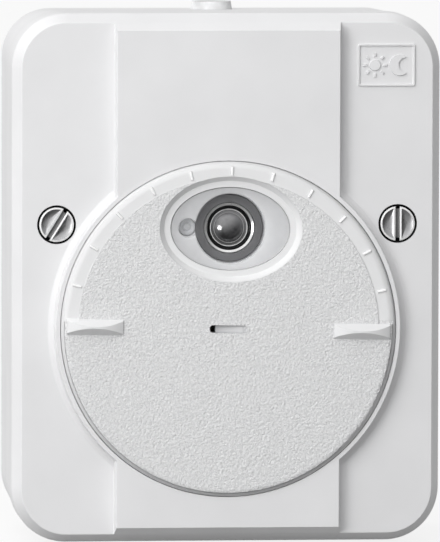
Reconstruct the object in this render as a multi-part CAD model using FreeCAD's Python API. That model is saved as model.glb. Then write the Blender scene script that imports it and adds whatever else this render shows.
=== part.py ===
"""Surface-mounted twilight switch: a light-sensing dial in a weatherproof two-part housing.

The frame is the wall's: the origin is the centre of the face that lies on the wall, +X is to the right
and +Z is up as the user sees the switch, and the front faces -Y. A depth is a distance from the wall,
towards the user. All lengths are in millimetres.
"""
import FreeCAD, Part
import math
import os

# Fits and gaps that many pieces share
running_fit = 0.05
loose_fit = 0.15
seat_gap = 0.3

# How far a rib or post runs into what carries it
overlap = 0.5

# Housing outline
cover_width = 83.2
cover_height = 102.6
cover_corner = 10.4
housing_depth = 45.0
bevel_depth = 3.5
bevel_slope = 0.486
cover_skirt = 7.0
cover_wall = 2.4
cover_roof = 2.2
rim_rounding = 1.2
face_rounding = 0.2

# Raised band down the middle of the cover, and the wall that it shares with the collar
band_width = 43.1
band_rise = 2.6
band_end_slope = 0.557
band_foot = 0.6
wall_rim = 0.12
wall_lean = 0.25
foot_angle = 40.0
foot_sink = 0.04
foot_root = 1.0

# Dial: turning disc with its hub, skirt, scale ring and two finger grips
dial_radius = 32.5
dial_gap = 0.12
dial_drop = 9.6
dial_turn = 1.2
dial_rise = 0.7
dial_rounding = 0.85
dial_plate = 2.6
dial_skirt = 3.0
dial_skirt_wall = 1.6
dial_rib = 1.2
dial_rib_height = 2.0
dial_rib_count = 5
scale_width = 3.3
scale_recess = 0.15
mark_count = 11
mark_pitch = 15.0
mark_width = 0.6
mark_crest = 0.25
mark_rise = 0.16
mark_length = 1.7
mark_inset = 1.0
grip_length = 10.9
grip_width = 3.0
grip_inset = 1.1
grip_height = 1.9
grip_end_height = 0.35
grip_crest = 0.3
slot_length = 7.4
slot_width = 1.5
slot_hole = 1.2
slot_ramp = 1.4
slot_ramp_end = 0.1
slot_corner = 0.7
hub_radius = 7.0
hub_bore = 4.2

# Collar that the cover raises round the dial
collar_land = 0.75
collar_foot = 2.4
cup_wall = 2.2

# Window in the dial and the sensor stack behind it
window_inset_from_rim = 13.1
window_half_x = 11.65
window_half_z = 8.1
window_ledge = 1.2
window_bevel = 1.0
window_recess = 1.3
window_inset = 0.25
window_flange = 1.5
window_flange_thickness = 0.9
pocket_wall = 1.0
plate_drop = 1.2
plate_thickness = 1.0
plate_rim = 1.0
plate_spacer = 1.2
mask_inner = 4.95
mask_outer = 6.6
mask_height = 0.7
mask_chamfer = 0.2
can_radius = 4.85
can_wall = 0.25
can_floor = 0.4
can_height = 2.7
lens_radius = 3.75
lens_rise = 1.1
lens_edge = 0.8
barrel_step = 0.1
barrel_edge = 0.15
barrel_lip = 0.6
chip_size = 2.6
chip_thickness = 0.4
led_offset = 8.2
led_flange = 1.7
led_proud = 0.3
led_chamfer = 0.4
sensor_board_thickness = 1.0
sensor_board_length = 29.2
sensor_board_width = 14.0
sensor_hook_width = 5.0
sensor_hook_wall = 1.2
sensor_hook_lip = 0.7
sensor_wire = 0.45
sensor_wire_tail = 0.6
sensor_wire_circle = 2.5
lead_width = 2.4
lead_thickness = 0.9
lead_bend = 2.4
lead_hold = 1.2
lead_tail_length = 0.6

# Well floor, hub bearing and what holds the dial in
bearing_rise = 1.0
bearing_boss = 10.0
well_floor = 2.2
floor_rib = 1.2
floor_rib_start = 2.0
floor_rib_count = 6
ring_thickness = 0.8
ring_radius = 8.6
ring_groove = 1.0
ring_groove_depth = 1.0
ring_opening = 70.0
hub_lip = 0.6
hub_ring_section = 1.1
hub_ring_height = 1.2

# Potentiometer and the control board behind the well
pot_height = 2.5
pot_width = 17.0
rotor_grip = 3.0
rotor_corner = 4.0
rotor_bore = 1.5
lead_hole = 1.6
control_board_thickness = 1.6
control_board_width = 40.0
control_board_below = 11.5
control_board_above = 20.0
control_screw_inset = 3.0
control_post_width = 5.2

# Base box
base_step = 0.15
base_taper = 0.9
base_wall = 3.2
base_floor = 2.6
groove_inset = 0.95
groove_width = 1.4
groove_depth = 1.6
tongue_length = 1.0
tongue_clearance = 0.2
gasket_clearance = 0.1
back_rim = 5.0
back_cross = 8.0
back_pocket = 0.8
wall_hole_radius = 2.4
wall_hole_inset_x = 12.4
wall_hole_inset_z = 6.1
wall_pad = 11.0
wall_head_radius = 4.5
wall_head_gap = 1.0

# Cover screws
screw_angle = 31.3
screw_wall = 2.4
screw_head_radius = 3.39
screw_head_height = 2.6
screw_head_chamfer = 0.35
screw_head_clearance = 0.38
screw_slot_width = 0.85
screw_slot_depth = 1.1
screw_shank_radius = 1.95
screw_length = 20.0
screw_ring_thickness = 0.8
screw_ring_sink = 0.3
screw_boss_radius = 5.2
pillar_width = 8.4
left_slot_lean = 32.0

# Cable entries on the centre line, top and bottom
entry_depth = 10.0
entry_foot_radius = 4.1
entry_tip_radius = 3.85
entry_proud = 1.6
entry_flange_radius = 6.0
entry_flange_thickness = 1.5
entry_bore = 3.0

# Power board and what stands on it
board_post_height = 6.4
board_post_width = 6.0
board_peg = 2.2
power_board_thickness = 1.6
board_edge_gap = 1.2
board_screw_inset = 3.5
board_screw_head_radius = 2.6
board_screw_head_height = 1.6
board_screw_radius = 1.15
board_screw_length = 5.0
pilot_spare = 1.0
component_edge = 3.3
component_gap = 1.0
case_chamfer = 0.6
wire_thickness = 0.6
pole_count = 3
pole_spacing = 7.6
terminal_edge = 0.5
terminal_depth = 14.0
terminal_height = 15.0
terminal_cheek = 0.8
terminal_step = 3.0
clamp_inset = 4.8
wire_way = (5.8, 7.0)
wire_way_depth = 9.0
wire_way_floor = 2.4
cage_size = (5.4, 6.4, 6.2)
cage_wall = 0.8
clamp_screw_radius = 1.9
clamp_screw_length = 4.6
clamp_slot_width = 0.7
clamp_slot_depth = 0.9
screw_well = 4.6
relay_size = (19.0, 15.5, 15.5)
film_size = (18.0, 8.0, 15.0)
electrolytic_radius = 5.0
electrolytic_height = 13.0
varistor_radius = 5.0
varistor_thickness = 3.8
varistor_lift = 1.2
varistor_x = 7.0
bridge_size = (8.0, 6.4, 3.4)
resistor_count = 3
resistor_spacing = 3.5
resistor_length = 6.3
resistor_wire = 1.2
resistor_radius = 1.15
resistor_x = 2.0
resistor_z = 6.0
fuse_size = (8.5, 4.0, 7.7)
fuse_x = 18.0
link_inset = 7.5
link_pins_long = 3
link_pin_spacing = 2.54
link_header_height = 2.5
link_socket_height = 8.5
link_pin_width = 0.64
link_pin_end_gap = 1.5
link_socket_web = 1.0
chip_x = 8.0
chip_z = 7.0
dip_size = (9.4, 6.4, 3.3)
package_lift = 0.5
package_leg = 0.5
transistor_size = (4.6, 3.6, 4.5)
transistor_x = 8.0
transistor_z = -6.5

# Depths that follow from the sizes above, from the front backwards
low_face = housing_depth
band_face = low_face + band_rise
rim_depth = low_face - bevel_depth
parting = rim_depth - cover_skirt
roof = low_face - cover_roof
dial_face = band_face + dial_rise
dial_back = dial_face - dial_plate
scale_floor = dial_face - scale_recess
ledge_depth = dial_face - window_recess
window_front = ledge_depth - window_inset
window_back = dial_back - window_flange_thickness
plate_front = window_back - plate_drop
plate_back = plate_front - plate_thickness
sensor_board_front = plate_back - plate_spacer
sensor_board_back = sensor_board_front - sensor_board_thickness
lead_depth = sensor_board_back - running_fit - lead_thickness / 2
bearing_top = lead_depth - lead_thickness / 2 - seat_gap
floor_front = bearing_top - bearing_rise
floor_back = floor_front - well_floor
ring_front = floor_back - seat_gap
ring_back = ring_front - ring_thickness
hub_end = ring_front + (ring_groove - ring_thickness) / 2 - ring_groove - hub_lip
pot_front = hub_end - seat_gap
control_front = pot_front - pot_height
control_back = control_front - control_board_thickness
base_top = parting - seat_gap
gasket_front = parting - tongue_length
power_back = base_floor + board_post_height
power_front = power_back + power_board_thickness

# Places that follow from the sizes above
dial_z = -dial_drop
well_radius = dial_radius + dial_gap
cup_radius = well_radius + cup_wall
counterbore_radius = screw_head_radius + screw_head_clearance
screw_circle = well_radius + screw_wall + counterbore_radius
screw_x = screw_circle * math.cos(math.radians(screw_angle))
screw_z = dial_z + screw_circle * math.sin(math.radians(screw_angle))
screw_seat = low_face - screw_head_height - screw_ring_thickness
window_z = dial_z + dial_radius - window_inset_from_rim
lead_start = window_z - dial_z - sensor_board_width / 2 + lead_hold
inner_half_x = cover_width / 2 - base_wall
inner_half_z = cover_height / 2 - base_wall
wall_hole_x = inner_half_x - wall_hole_inset_x
wall_hole_z = inner_half_z - wall_hole_inset_z
board_half_x = screw_x - pillar_width / 2 - board_edge_gap
board_half_z = wall_hole_z - wall_head_radius - wall_head_gap
board_screw_x = board_half_x - board_screw_inset
board_screw_z = board_half_z - board_screw_inset
component_top = board_screw_z - board_screw_head_radius - component_gap
terminal_z = -board_half_z + terminal_edge + terminal_depth / 2
terminal_width = pole_count * pole_spacing + 2 * terminal_cheek
link_x = control_board_width / 2 - link_inset
link_z = dial_z
lead_tail = control_back - lead_tail_length

toward_user = FreeCAD.Vector(0, -1, 0)
along_x = FreeCAD.Vector(1, 0, 0)
along_z = FreeCAD.Vector(0, 0, 1)
dial_centre = FreeCAD.Vector(0, 0, dial_z)


def at(x, depth, z):
    """Point at a place across the wall and a depth from it."""
    return FreeCAD.Vector(x, -depth, z)


def rod(radius, back, front, x=0.0, z=0.0):
    """Cylinder square to the wall, between two depths."""
    return Part.makeCylinder(radius, front - back, at(x, back, z), toward_user)


def tube(outer, inner, back, front, x=0.0, z=0.0):
    """Round tube square to the wall."""
    return rod(outer, back, front, x, z).cut(rod(inner, back - 1, front + 1, x, z))


def block(width, height, back, front, x=0.0, z=0.0):
    """Box with its faces square to the frame, centred on (x, z)."""
    corner = at(x - width / 2, front, z - height / 2)
    return Part.makeBox(width, front - back, height, corner)


def rounded_wire(width, height, corner, depth, x=0.0, z=0.0):
    """Rounded rectangle parallel to the wall."""
    arcs = []
    for quarter, (side_x, side_z) in enumerate([(1, 1), (-1, 1), (-1, -1), (1, -1)]):
        centre_x = x + side_x * (width / 2 - corner)
        centre_z = z + side_z * (height / 2 - corner)
        angles = [math.radians(90 * quarter + step) for step in (0, 45, 90)]
        arcs.append([
            at(centre_x + corner * math.cos(a), depth, centre_z + corner * math.sin(a)) for a in angles
        ])
    edges = []
    for index, arc in enumerate(arcs):
        edges.append(Part.Arc(*arc).toShape())
        edges.append(Part.LineSegment(arc[2], arcs[(index + 1) % 4][0]).toShape())
    return Part.Wire(edges)


def rounded_block(width, height, corner, back, front, x=0.0, z=0.0):
    """Plate with rounded corners between two depths."""
    face = Part.Face(rounded_wire(width, height, corner, back, x, z))
    return face.extrude(toward_user * (front - back))


def housing_wire(inset, depth):
    """The housing's outline, drawn in on every side by an inset."""
    return rounded_wire(cover_width - 2 * inset, cover_height - 2 * inset, cover_corner - inset, depth)


def housing_block(inset, back, front):
    """Straight-sided block on the housing's outline."""
    return Part.Face(housing_wire(inset, back)).extrude(toward_user * (front - back))


def ellipse_wire(half_x, half_z, depth):
    """Ellipse parallel to the wall, centred on the dial's window."""
    centre = at(0, depth, window_z)
    curve = Part.Ellipse(at(half_x, depth, window_z), at(0, depth, window_z + half_z), centre)
    return Part.Wire([curve.toShape()])


def ellipse_block(half_x, half_z, back, front):
    """Elliptic plate centred on the dial's window."""
    return Part.Face(ellipse_wire(half_x, half_z, back)).extrude(toward_user * (front - back))


def profile_face(points, place):
    """Closed face through 2-D points; one of four numbers ends an arc that passes through its first two."""
    edges = []
    start = points[0]
    here = place(*start)
    for point in list(points[1:]) + [start]:
        there = place(*point[-2:])
        if len(point) == 4:
            edges.append(Part.Arc(here, place(*point[:2]), there).toShape())
        else:
            edges.append(Part.LineSegment(here, there).toShape())
        here = there
    return Part.Face(Part.Wire(edges))


def housing_frustum(inset_back, back, inset_front, front):
    """Block on the housing's outline whose sides and corners lean in from one depth to the other."""
    reach_x = cover_width / 2 - cover_corner
    reach_z = cover_height / 2 - cover_corner
    corner_back = cover_corner - inset_back
    corner_front = cover_corner - inset_front

    def slopes(reach):
        wide = reach + corner_back
        narrow = reach + corner_front
        return [(-wide, back), (wide, back), (narrow, front), (-narrow, front)]

    across = profile_face(slopes(reach_x), lambda x, depth: at(x, depth, -reach_z))
    upright = profile_face(slopes(reach_z), lambda z, depth: at(-reach_x, depth, z))
    pieces = [across.extrude(along_z * (2 * reach_z)), upright.extrude(along_x * (2 * reach_x))]
    for x, z in corner_places(reach_x, reach_z):
        pieces.append(Part.makeCone(corner_back, corner_front, front - back, at(x, back, z), toward_user))
    return pieces[0].fuse(pieces[1:]).removeSplitter()


def turned(points, x=0.0, z=0.0, sweep=360.0):
    """Solid of revolution square to the wall, from (radius, depth) points."""
    face = profile_face(points, lambda radius, depth: at(x + radius, depth, z))
    return face.revolve(at(x, 0, z), FreeCAD.Vector(0, 1, 0), sweep)


def square_ring(inner, outer, back, front):
    """Ring of rectangular section about the dial's axis."""
    return tube(outer, inner, back, front, 0, dial_z)


def about_dial(shape, degrees):
    """Copy of a shape turned clockwise about the dial's axis, as the user sees it."""
    turned_copy = shape.copy()
    turned_copy.rotate(dial_centre, FreeCAD.Vector(0, 1, 0), degrees)
    return turned_copy


def rounded_edges(shape, radius, chosen):
    """Fillet the edges that a test picks by their bounding box."""
    edges = [edge for edge in shape.Edges if chosen(edge.BoundBox)]
    return shape.makeFillet(radius, edges)


def lies_at_depth(depth):
    """Test for an edge that lies wholly at one depth."""
    return lambda box: abs(box.YMin + depth) < 1e-4 and abs(box.YMax + depth) < 1e-4


def screw_places():
    """Centres of the two cover screws."""
    return [(-screw_x, screw_z), (screw_x, screw_z)]


def corner_places(reach_x, reach_z, z=0.0):
    """Four places mirrored about a centre on the housing's upright centre line."""
    return [(sx * reach_x, z + sz * reach_z) for sx in (-1, 1) for sz in (-1, 1)]


def bevel_inset(depth):
    """How far the cover's bevel has drawn in at a depth."""
    return bevel_slope * (depth - rim_depth)


def arc_point(x, depth, radius, angle):
    """Point on an arc, at an angle from the arc's level radius towards the user."""
    turn = math.radians(angle)
    return x + radius * math.cos(turn), depth + radius * math.sin(turn)


def raised_outline(edge, foot):
    """Half outline of a raised form: a steep wall, and a hollow foot that runs out into the low face."""
    wall = edge + wall_rim + wall_lean
    centre_x = wall + foot * math.sin(math.radians(foot_angle))
    centre_depth = low_face - foot_sink + foot
    top = arc_point(centre_x, centre_depth, foot, -90 - foot_angle)
    middle = arc_point(centre_x, centre_depth, foot, -90 - foot_angle / 2)
    return [
        (0, low_face - foot_root), (centre_x, low_face - foot_root), (centre_x, low_face - foot_sink),
        (*middle, *top), (edge + wall_rim, band_face - wall_rim), (edge, band_face), (0, band_face),
    ]


def collar():
    """Disc with the collar's outer surface, from under the low face up to the band's face."""
    return turned(raised_outline(well_radius + collar_land, collar_foot), z=dial_z)


def band():
    """Raised band down the middle, whose ends carry the bevel on a little flatter."""
    start = low_face - foot_root
    band_inset = bevel_inset(low_face) + band_end_slope * band_rise
    ends = housing_frustum(bevel_inset(start), start, bevel_inset(low_face), low_face)
    ends = ends.fuse(housing_frustum(bevel_inset(low_face), low_face, band_inset, band_face))
    half = profile_face(
        raised_outline(band_width / 2, band_foot),
        lambda x, depth: at(x, depth, -cover_height),
    ).extrude(along_z * (2 * cover_height))
    return ends.common(half.fuse(half.mirror(at(0, 0, 0), along_x)).removeSplitter())


def cover_outside():
    """Bevelled lid with rounded edges, its raised band and the collar round the dial."""
    lid = housing_block(0, parting, rim_depth)
    lid = lid.fuse(housing_frustum(0, rim_depth, bevel_inset(low_face), low_face)).removeSplitter()
    lid = rounded_edges(lid, rim_rounding, lies_at_depth(rim_depth))
    lid = rounded_edges(lid, face_rounding, lies_at_depth(low_face))
    return lid.fuse([band(), collar()]).removeSplitter()


def cover_inside():
    """Hollow of the cover, less the cup and the screw bosses that stand in it."""
    hollow = housing_block(cover_wall, parting - 1, roof)
    band_hollow = block(
        band_width - 2 * cover_wall, cover_height - 4 * cover_wall, roof - 1, band_face - cover_roof,
    )
    standing = [rod(cup_radius, floor_back, band_face, 0, dial_z)]
    for x, z in screw_places():
        standing.append(rod(screw_boss_radius, parting, roof + 1, x, z))
    return hollow.fuse(band_hollow).cut(standing)


def under_floor():
    """Bearing boss, board posts and radial ribs on the two sides of the well's floor."""
    pieces = [rod(bearing_boss, floor_back, bearing_top, 0, dial_z)]
    root = floor_back + overlap
    for x, z in control_post_places():
        pieces.append(block(control_post_width, control_post_width, control_front, root, x, z))
    rib_start = bearing_boss + floor_rib_start
    rib_end = cup_radius - overlap
    for step in range(floor_rib_count):
        rib = block(
            rib_end - rib_start, floor_rib, floor_back - floor_rib, root, (rib_start + rib_end) / 2, dial_z,
        )
        pieces.append(about_dial(rib, 360 / floor_rib_count * step))
    return pieces


def control_post_places():
    """Posts that the control board lies on, under the well's floor."""
    reach = control_board_width / 2 - control_screw_inset
    above = dial_z + control_board_above - control_screw_inset
    below = dial_z - control_board_below + control_screw_inset
    return [(side * reach, z) for side in (-1, 1) for z in (above, below)]


def control_screw_places():
    """The two posts, on one diagonal, that take a screw."""
    places = control_post_places()
    return [places[0], places[3]]


def sealing_groove(back, front, clearance):
    """Ring that runs round the housing in the base's sealing groove, a clearance thinner on each side."""
    outer = housing_block(groove_inset + clearance, back, front)
    return outer.cut(housing_block(groove_inset + groove_width - clearance, back - 1, front + 1))


def make_cover():
    """Front cover: lid, dial well with its bearing, screw bosses and the tongue that presses the gasket."""
    cover = cover_outside().cut(cover_inside())
    cover = cover.fuse(sealing_groove(parting - tongue_length, parting + overlap, tongue_clearance))
    cover = cover.cut(rod(well_radius, floor_front, band_face + 1, 0, dial_z))
    cover = cover.fuse(under_floor())
    cuts = [rod(hub_radius + running_fit, floor_back - 1, bearing_top + 1, 0, dial_z)]
    for x, z in screw_places():
        cuts.append(rod(counterbore_radius, screw_seat, low_face + 1, x, z))
        cuts.append(rod(screw_shank_radius + loose_fit, parting - 1, low_face, x, z))
    for x, z in control_screw_places():
        cuts.append(rod(board_screw_radius + running_fit, control_front - 1, floor_back - overlap, x, z))
    return cover.cut(cuts).removeSplitter()


def back_pockets():
    """Four shallow pockets that leave the back a rim, a cross and a pad round each wall hole."""
    outer_x = cover_width / 2 - base_step - base_taper - back_rim
    outer_z = cover_height / 2 - base_step - base_taper - back_rim
    start = back_cross / 2
    pockets = []
    for side_x, side_z in corner_places(1, 1):
        x = side_x * (start + outer_x) / 2
        z = side_z * (start + outer_z) / 2
        pockets.append(block(outer_x - start, outer_z - start, -1, back_pocket, x, z))
    pads = [block(wall_pad, wall_pad, -2, back_pocket + 1, x, z) for x, z in wall_hole_places()]
    return Part.makeCompound(pockets).cut(pads)


def wall_hole_places():
    """The four holes for the wall screws."""
    return corner_places(wall_hole_x, wall_hole_z)


def base_standing():
    """Pillars for the cover's screws and posts for the power board, standing inside the base."""
    pieces = []
    for x, z in screw_places():
        side = math.copysign(1, x)
        inner_side = screw_x - pillar_width / 2
        span = inner_half_x + overlap - inner_side
        pieces.append(block(span, pillar_width, 0, base_top, side * (inner_side + span / 2), z))
    for x, z in corner_places(board_screw_x, board_screw_z):
        pieces.append(block(board_post_width, board_post_width, 0, power_back, x, z))
    for x, z in power_peg_places():
        pieces.append(block(board_peg, board_peg, 0, power_front, x, z))
    return pieces


def make_base():
    """Box on the wall: drafted walls, seal groove, screw pillars, board posts and cable entries."""
    box = housing_frustum(base_step + base_taper, 0, base_step, base_top)
    hollow = housing_block(base_wall, base_floor, base_top + 1).cut(base_standing())
    cuts = [hollow, sealing_groove(base_top - groove_depth, base_top + 1, 0), back_pockets()]
    for x, z in screw_places():
        cuts.append(rod(screw_shank_radius + running_fit, screw_tip() - pilot_spare, base_top + 1, x, z))
    for x, z in power_screw_places():
        pilot_end = power_front - board_screw_length - pilot_spare
        cuts.append(rod(board_screw_radius + running_fit, pilot_end, power_front, x, z))
    for x, z in wall_hole_places():
        cuts.append(rod(wall_hole_radius, -1, base_floor + 1, x, z))
    for side in (-1, 1):
        radius = entry_foot_radius + running_fit
        cuts.append(Part.makeCylinder(radius, cover_height, at(0, entry_depth, 0), along_z * side))
    return box.cut(cuts).removeSplitter()


def make_gasket():
    """Seal that lies in the base's groove under the cover's tongue."""
    return sealing_groove(base_top - groove_depth, gasket_front, gasket_clearance)


def screw_tip():
    """Depth of the cover screws' ends."""
    return screw_seat + screw_ring_thickness - screw_length


def make_cover_screws():
    """Two slotted cheese-head screws; the left one's slot leans clockwise, the right one's is upright."""
    head_back = screw_seat + screw_ring_thickness
    head_front = head_back + screw_head_height
    rim = screw_head_radius - screw_head_chamfer
    screws = []
    for (x, z), lean in zip(screw_places(), (left_slot_lean, 0.0)):
        screw = turned([
            (0, screw_tip()), (screw_shank_radius, screw_tip()), (screw_shank_radius, head_back),
            (screw_head_radius, head_back), (screw_head_radius, head_front - screw_head_chamfer),
            (rim, head_front), (0, head_front),
        ], x, z)
        slot_floor = head_front - screw_slot_depth
        slot = block(screw_slot_width, 3 * screw_head_radius, slot_floor, head_front + 1, x, z)
        slot.rotate(at(x, 0, z), FreeCAD.Vector(0, 1, 0), lean)
        screws.append(screw.cut(slot))
    return Part.makeCompound(screws)


def make_screw_rings():
    """Sealing cups of rubber: a floor under each cover screw's head and a thin wall round the head."""
    bore = screw_shank_radius + running_fit
    inner = screw_head_radius + running_fit
    outer = counterbore_radius - running_fit
    floor = screw_seat + screw_ring_thickness
    front = low_face - screw_ring_sink
    outline = [
        (bore, screw_seat), (outer, screw_seat), (outer, front),
        (inner, front), (inner, floor), (bore, floor),
    ]
    return Part.makeCompound([turned(outline, x, z) for x, z in screw_places()])


def make_grommet(side, bore):
    """Rubber cable entry pushed in from inside: flange, neck through the wall and a tapered nipple."""
    wall_out = cover_height / 2 - base_step - base_taper * (1 - entry_depth / base_top)
    tip = wall_out + entry_proud
    inside = inner_half_z - entry_flange_thickness
    neck = profile_face([
        (0, inside), (entry_flange_radius, inside), (entry_flange_radius, inner_half_z),
        (entry_foot_radius, inner_half_z), (entry_foot_radius, wall_out), (entry_tip_radius, tip), (0, tip),
    ], lambda radius, height: at(radius, entry_depth, side * height))
    grommet = neck.revolve(at(0, entry_depth, 0), along_z, 360)
    if bore:
        grommet = grommet.cut(Part.makeCylinder(bore, cover_height, at(0, entry_depth, 0), along_z * side))
    return grommet


def grip():
    """Finger grip: a ridge with sloping flanks whose crest is an arch along its length."""
    half = grip_length / 2
    x = dial_radius - grip_inset - half
    ridge_top = dial_face + grip_height * grip_width / (grip_width - grip_crest)
    root = dial_face - overlap
    flank = (grip_width / 2) / (ridge_top - dial_face)
    foot = grip_width / 2 + overlap * flank
    ridge = profile_face(
        [(-foot, root), (foot, root), (0, ridge_top)],
        lambda z, depth: at(x - half, depth, dial_z + z),
    ).extrude(along_x * grip_length)
    end = dial_face + grip_end_height
    arch = profile_face(
        [(-half, root), (half, root), (half, end), (0, dial_face + grip_height, -half, end)],
        lambda along, depth: at(x + along, depth, dial_z - grip_width),
    ).extrude(along_z * (2 * grip_width))
    return ridge.common(arch)


def scale_marks():
    """Raised marks with sloping flanks across the smooth scale ring, evenly spaced about the top."""
    root = scale_floor - overlap
    foot = mark_width / 2
    crest = mark_crest / 2
    mark = profile_face(
        [(-foot, root), (foot, root), (foot, scale_floor), (crest, dial_face + mark_rise),
         (-crest, dial_face + mark_rise), (-foot, scale_floor)],
        lambda x, depth: at(x, depth, dial_z + dial_radius - mark_inset - mark_length),
    ).extrude(along_z * mark_length)
    first = -mark_pitch * (mark_count - 1) / 2
    return [about_dial(mark, first + mark_pitch * index) for index in range(mark_count)]


def dial_slot():
    """Slot at the dial's centre: a hole at its left end and a ramp that climbs to its right end."""
    half = slot_length / 2
    below = dial_back - 1
    above = dial_face + 1
    through = rounded_block(slot_length, slot_width, slot_corner, below, above, 0, dial_z)
    hole_end = -half + slot_hole
    ramp = profile_face(
        [(-half, above), (-half, below), (hole_end, below), (hole_end, dial_face - slot_ramp),
         (half, dial_face - slot_ramp_end), (half, above)],
        lambda x, depth: at(x, depth, dial_z - slot_width),
    ).extrude(along_z * (2 * slot_width))
    return through.common(ramp)


def hexagon(corner_radius, back, front):
    """Hexagonal bar on the dial's axis."""
    points = [
        (corner_radius * math.cos(math.radians(60 * n)), corner_radius * math.sin(math.radians(60 * n)))
        for n in range(6)
    ]
    face = profile_face(points, lambda x, z: at(x, back, dial_z + z))
    return face.extrude(toward_user * (front - back))


def rotor_top():
    """Depth to which the potentiometer's rotor reaches into the hub."""
    return hub_end + rotor_grip


def dial_body():
    """Disc, skirt and grooved hub, turned about the dial's axis."""
    skirt_end = dial_back - dial_skirt
    skirt_inner = dial_radius - dial_skirt_wall
    lip_front = hub_end + hub_lip
    groove_front = lip_front + ring_groove
    groove_radius = hub_radius - ring_groove_depth
    seal_back, seal_front = seal_groove()
    seal_floor = hub_radius - hub_ring_section
    rim_middle = arc_point(dial_radius - dial_rounding, dial_face - dial_rounding, dial_rounding, 45)
    return turned([
        (0, dial_back), (0, dial_face), (dial_radius - dial_rounding, dial_face),
        (*rim_middle, dial_radius, dial_face - dial_rounding),
        (dial_radius, skirt_end), (skirt_inner, skirt_end),
        (skirt_inner, dial_back), (hub_radius, dial_back),
        (hub_radius, seal_front), (seal_floor, seal_front), (seal_floor, seal_back), (hub_radius, seal_back),
        (hub_radius, groove_front), (groove_radius, groove_front), (groove_radius, lip_front),
        (hub_radius, lip_front), (hub_radius, hub_end), (hub_bore, hub_end), (hub_bore, dial_back),
    ], z=dial_z)


def scale_sector():
    """Upper half of the rim, from grip to grip, that the scale ring is sunk into."""
    ring = tube(dial_radius + 1, dial_radius - scale_width, scale_floor, dial_face + 1, 0, dial_z)
    width = 2 * dial_radius + 4
    height = dial_radius + 2
    middle = dial_z + grip_width / 2 + height / 2
    return ring.common(block(width, height, scale_floor - 1, dial_face + 2, 0, middle))


def sensor_pocket():
    """Wall behind the window that holds the light tray, and the hollow inside it."""
    half_x = window_half_x + window_flange + loose_fit
    half_z = window_half_z + window_flange + loose_fit
    root = dial_back + overlap
    wall = ellipse_block(half_x + pocket_wall, half_z + pocket_wall, sensor_board_front, root)
    return wall, ellipse_block(half_x, half_z, sensor_board_front - 1, dial_back)


def sensor_hooks():
    """Two hooks that snap over the ends of the sensor board."""
    inner = sensor_board_length / 2 + running_fit
    hook_end = sensor_board_back - sensor_hook_wall
    hook_front = sensor_board_back - running_fit / 2
    root = dial_back + overlap
    lip = sensor_hook_wall + sensor_hook_lip
    pieces = []
    for side in (-1, 1):
        arm_x = side * (inner + sensor_hook_wall / 2)
        lip_x = side * (inner - sensor_hook_lip + lip / 2)
        pieces.append(block(sensor_hook_wall, sensor_hook_width, hook_end, root, arm_x, window_z))
        pieces.append(block(lip, sensor_hook_width, hook_end, hook_front, lip_x, window_z))
    return pieces


def dial_ribs():
    """Ribs behind the lower half of the disc, from hub to skirt."""
    start = hub_radius - overlap
    end = dial_radius - dial_skirt_wall + overlap
    rib_back = dial_back - dial_rib_height
    rib = block(end - start, dial_rib, rib_back, dial_back + overlap, (start + end) / 2, dial_z)
    pitch = 180 / dial_rib_count
    return [about_dial(rib, pitch * (step + 0.5)) for step in range(dial_rib_count)]


def make_dial():
    """Dial moulding: disc with scale, grips and slot in front, hub, skirt and sensor pocket behind."""
    pocket, pocket_hollow = sensor_pocket()
    outer_x = window_half_x + window_ledge
    outer_z = window_half_z + window_ledge
    bevel = Part.makeLoft([
        ellipse_wire(outer_x, outer_z, ledge_depth),
        ellipse_wire(outer_x + window_bevel, outer_z + window_bevel, dial_face + 0.001),
    ], True, True)
    opening = ellipse_block(window_half_x, window_half_z, dial_back - 1, dial_face)
    notch_width = lead_width + 2 * loose_fit
    notch_reach = hub_radius + 1
    lead_notch = block(
        notch_width, notch_reach, bearing_top, sensor_board_back, 0, dial_z + notch_reach / 2,
    )
    rotor_socket = hexagon(rotor_corner + running_fit, hub_end - 1, rotor_top() + loose_fit)
    dial = dial_body().fuse([pocket] + dial_ribs())
    dial = dial.cut([pocket_hollow, scale_sector()])
    dial = dial.fuse(scale_marks() + sensor_hooks() + [grip(), about_dial(grip(), 180)])
    dial = dial.cut([bevel, opening, dial_slot(), lead_notch, rotor_socket])
    return dial.removeSplitter()


def make_window():
    """Clear window: its raised centre stands in the dial's opening, its flange lies behind the disc."""
    centre_x = window_half_x - loose_fit
    centre_z = window_half_z - loose_fit
    centre = ellipse_block(centre_x, centre_z, window_back, window_front)
    flange_x = window_half_x + window_flange
    flange_z = window_half_z + window_flange
    return centre.fuse(ellipse_block(flange_x, flange_z, window_back, dial_back)).removeSplitter()


def make_sensor_plate():
    """Light tray behind the window, with openings for the photocell and the indicator."""
    half_x = window_half_x + window_flange
    half_z = window_half_z + window_flange
    tray = ellipse_block(half_x, half_z, sensor_board_front, window_back)
    cuts = [
        ellipse_block(half_x - plate_rim, half_z - plate_rim, plate_front, window_back + 1),
        rod(mask_inner, sensor_board_front - 1, plate_front + 1, 0, window_z),
        rod(led_flange + running_fit, sensor_board_front - 1, plate_front + 1, -led_offset, window_z),
    ]
    return tray.cut(cuts)


def make_sensor_mask():
    """Dark ring round the photocell, with a chamfered outer edge."""
    front = plate_front + mask_height
    return turned([
        (mask_inner, plate_front), (mask_outer, plate_front), (mask_outer, front - mask_chamfer),
        (mask_outer - mask_chamfer, front), (mask_inner, front),
    ], z=window_z)


def can_front():
    """Depth of the photocell can's rim."""
    return sensor_board_front + can_height


def make_photocell_can():
    """Metal can with its floor on the sensor board."""
    return turned([
        (0, sensor_board_front), (can_radius, sensor_board_front), (can_radius, can_front()),
        (can_radius - can_wall, can_front()), (can_radius - can_wall, can_inside()), (0, can_inside()),
    ], z=window_z)


def can_inside():
    """Depth of the front of the can's floor."""
    return sensor_board_front + can_floor


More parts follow.
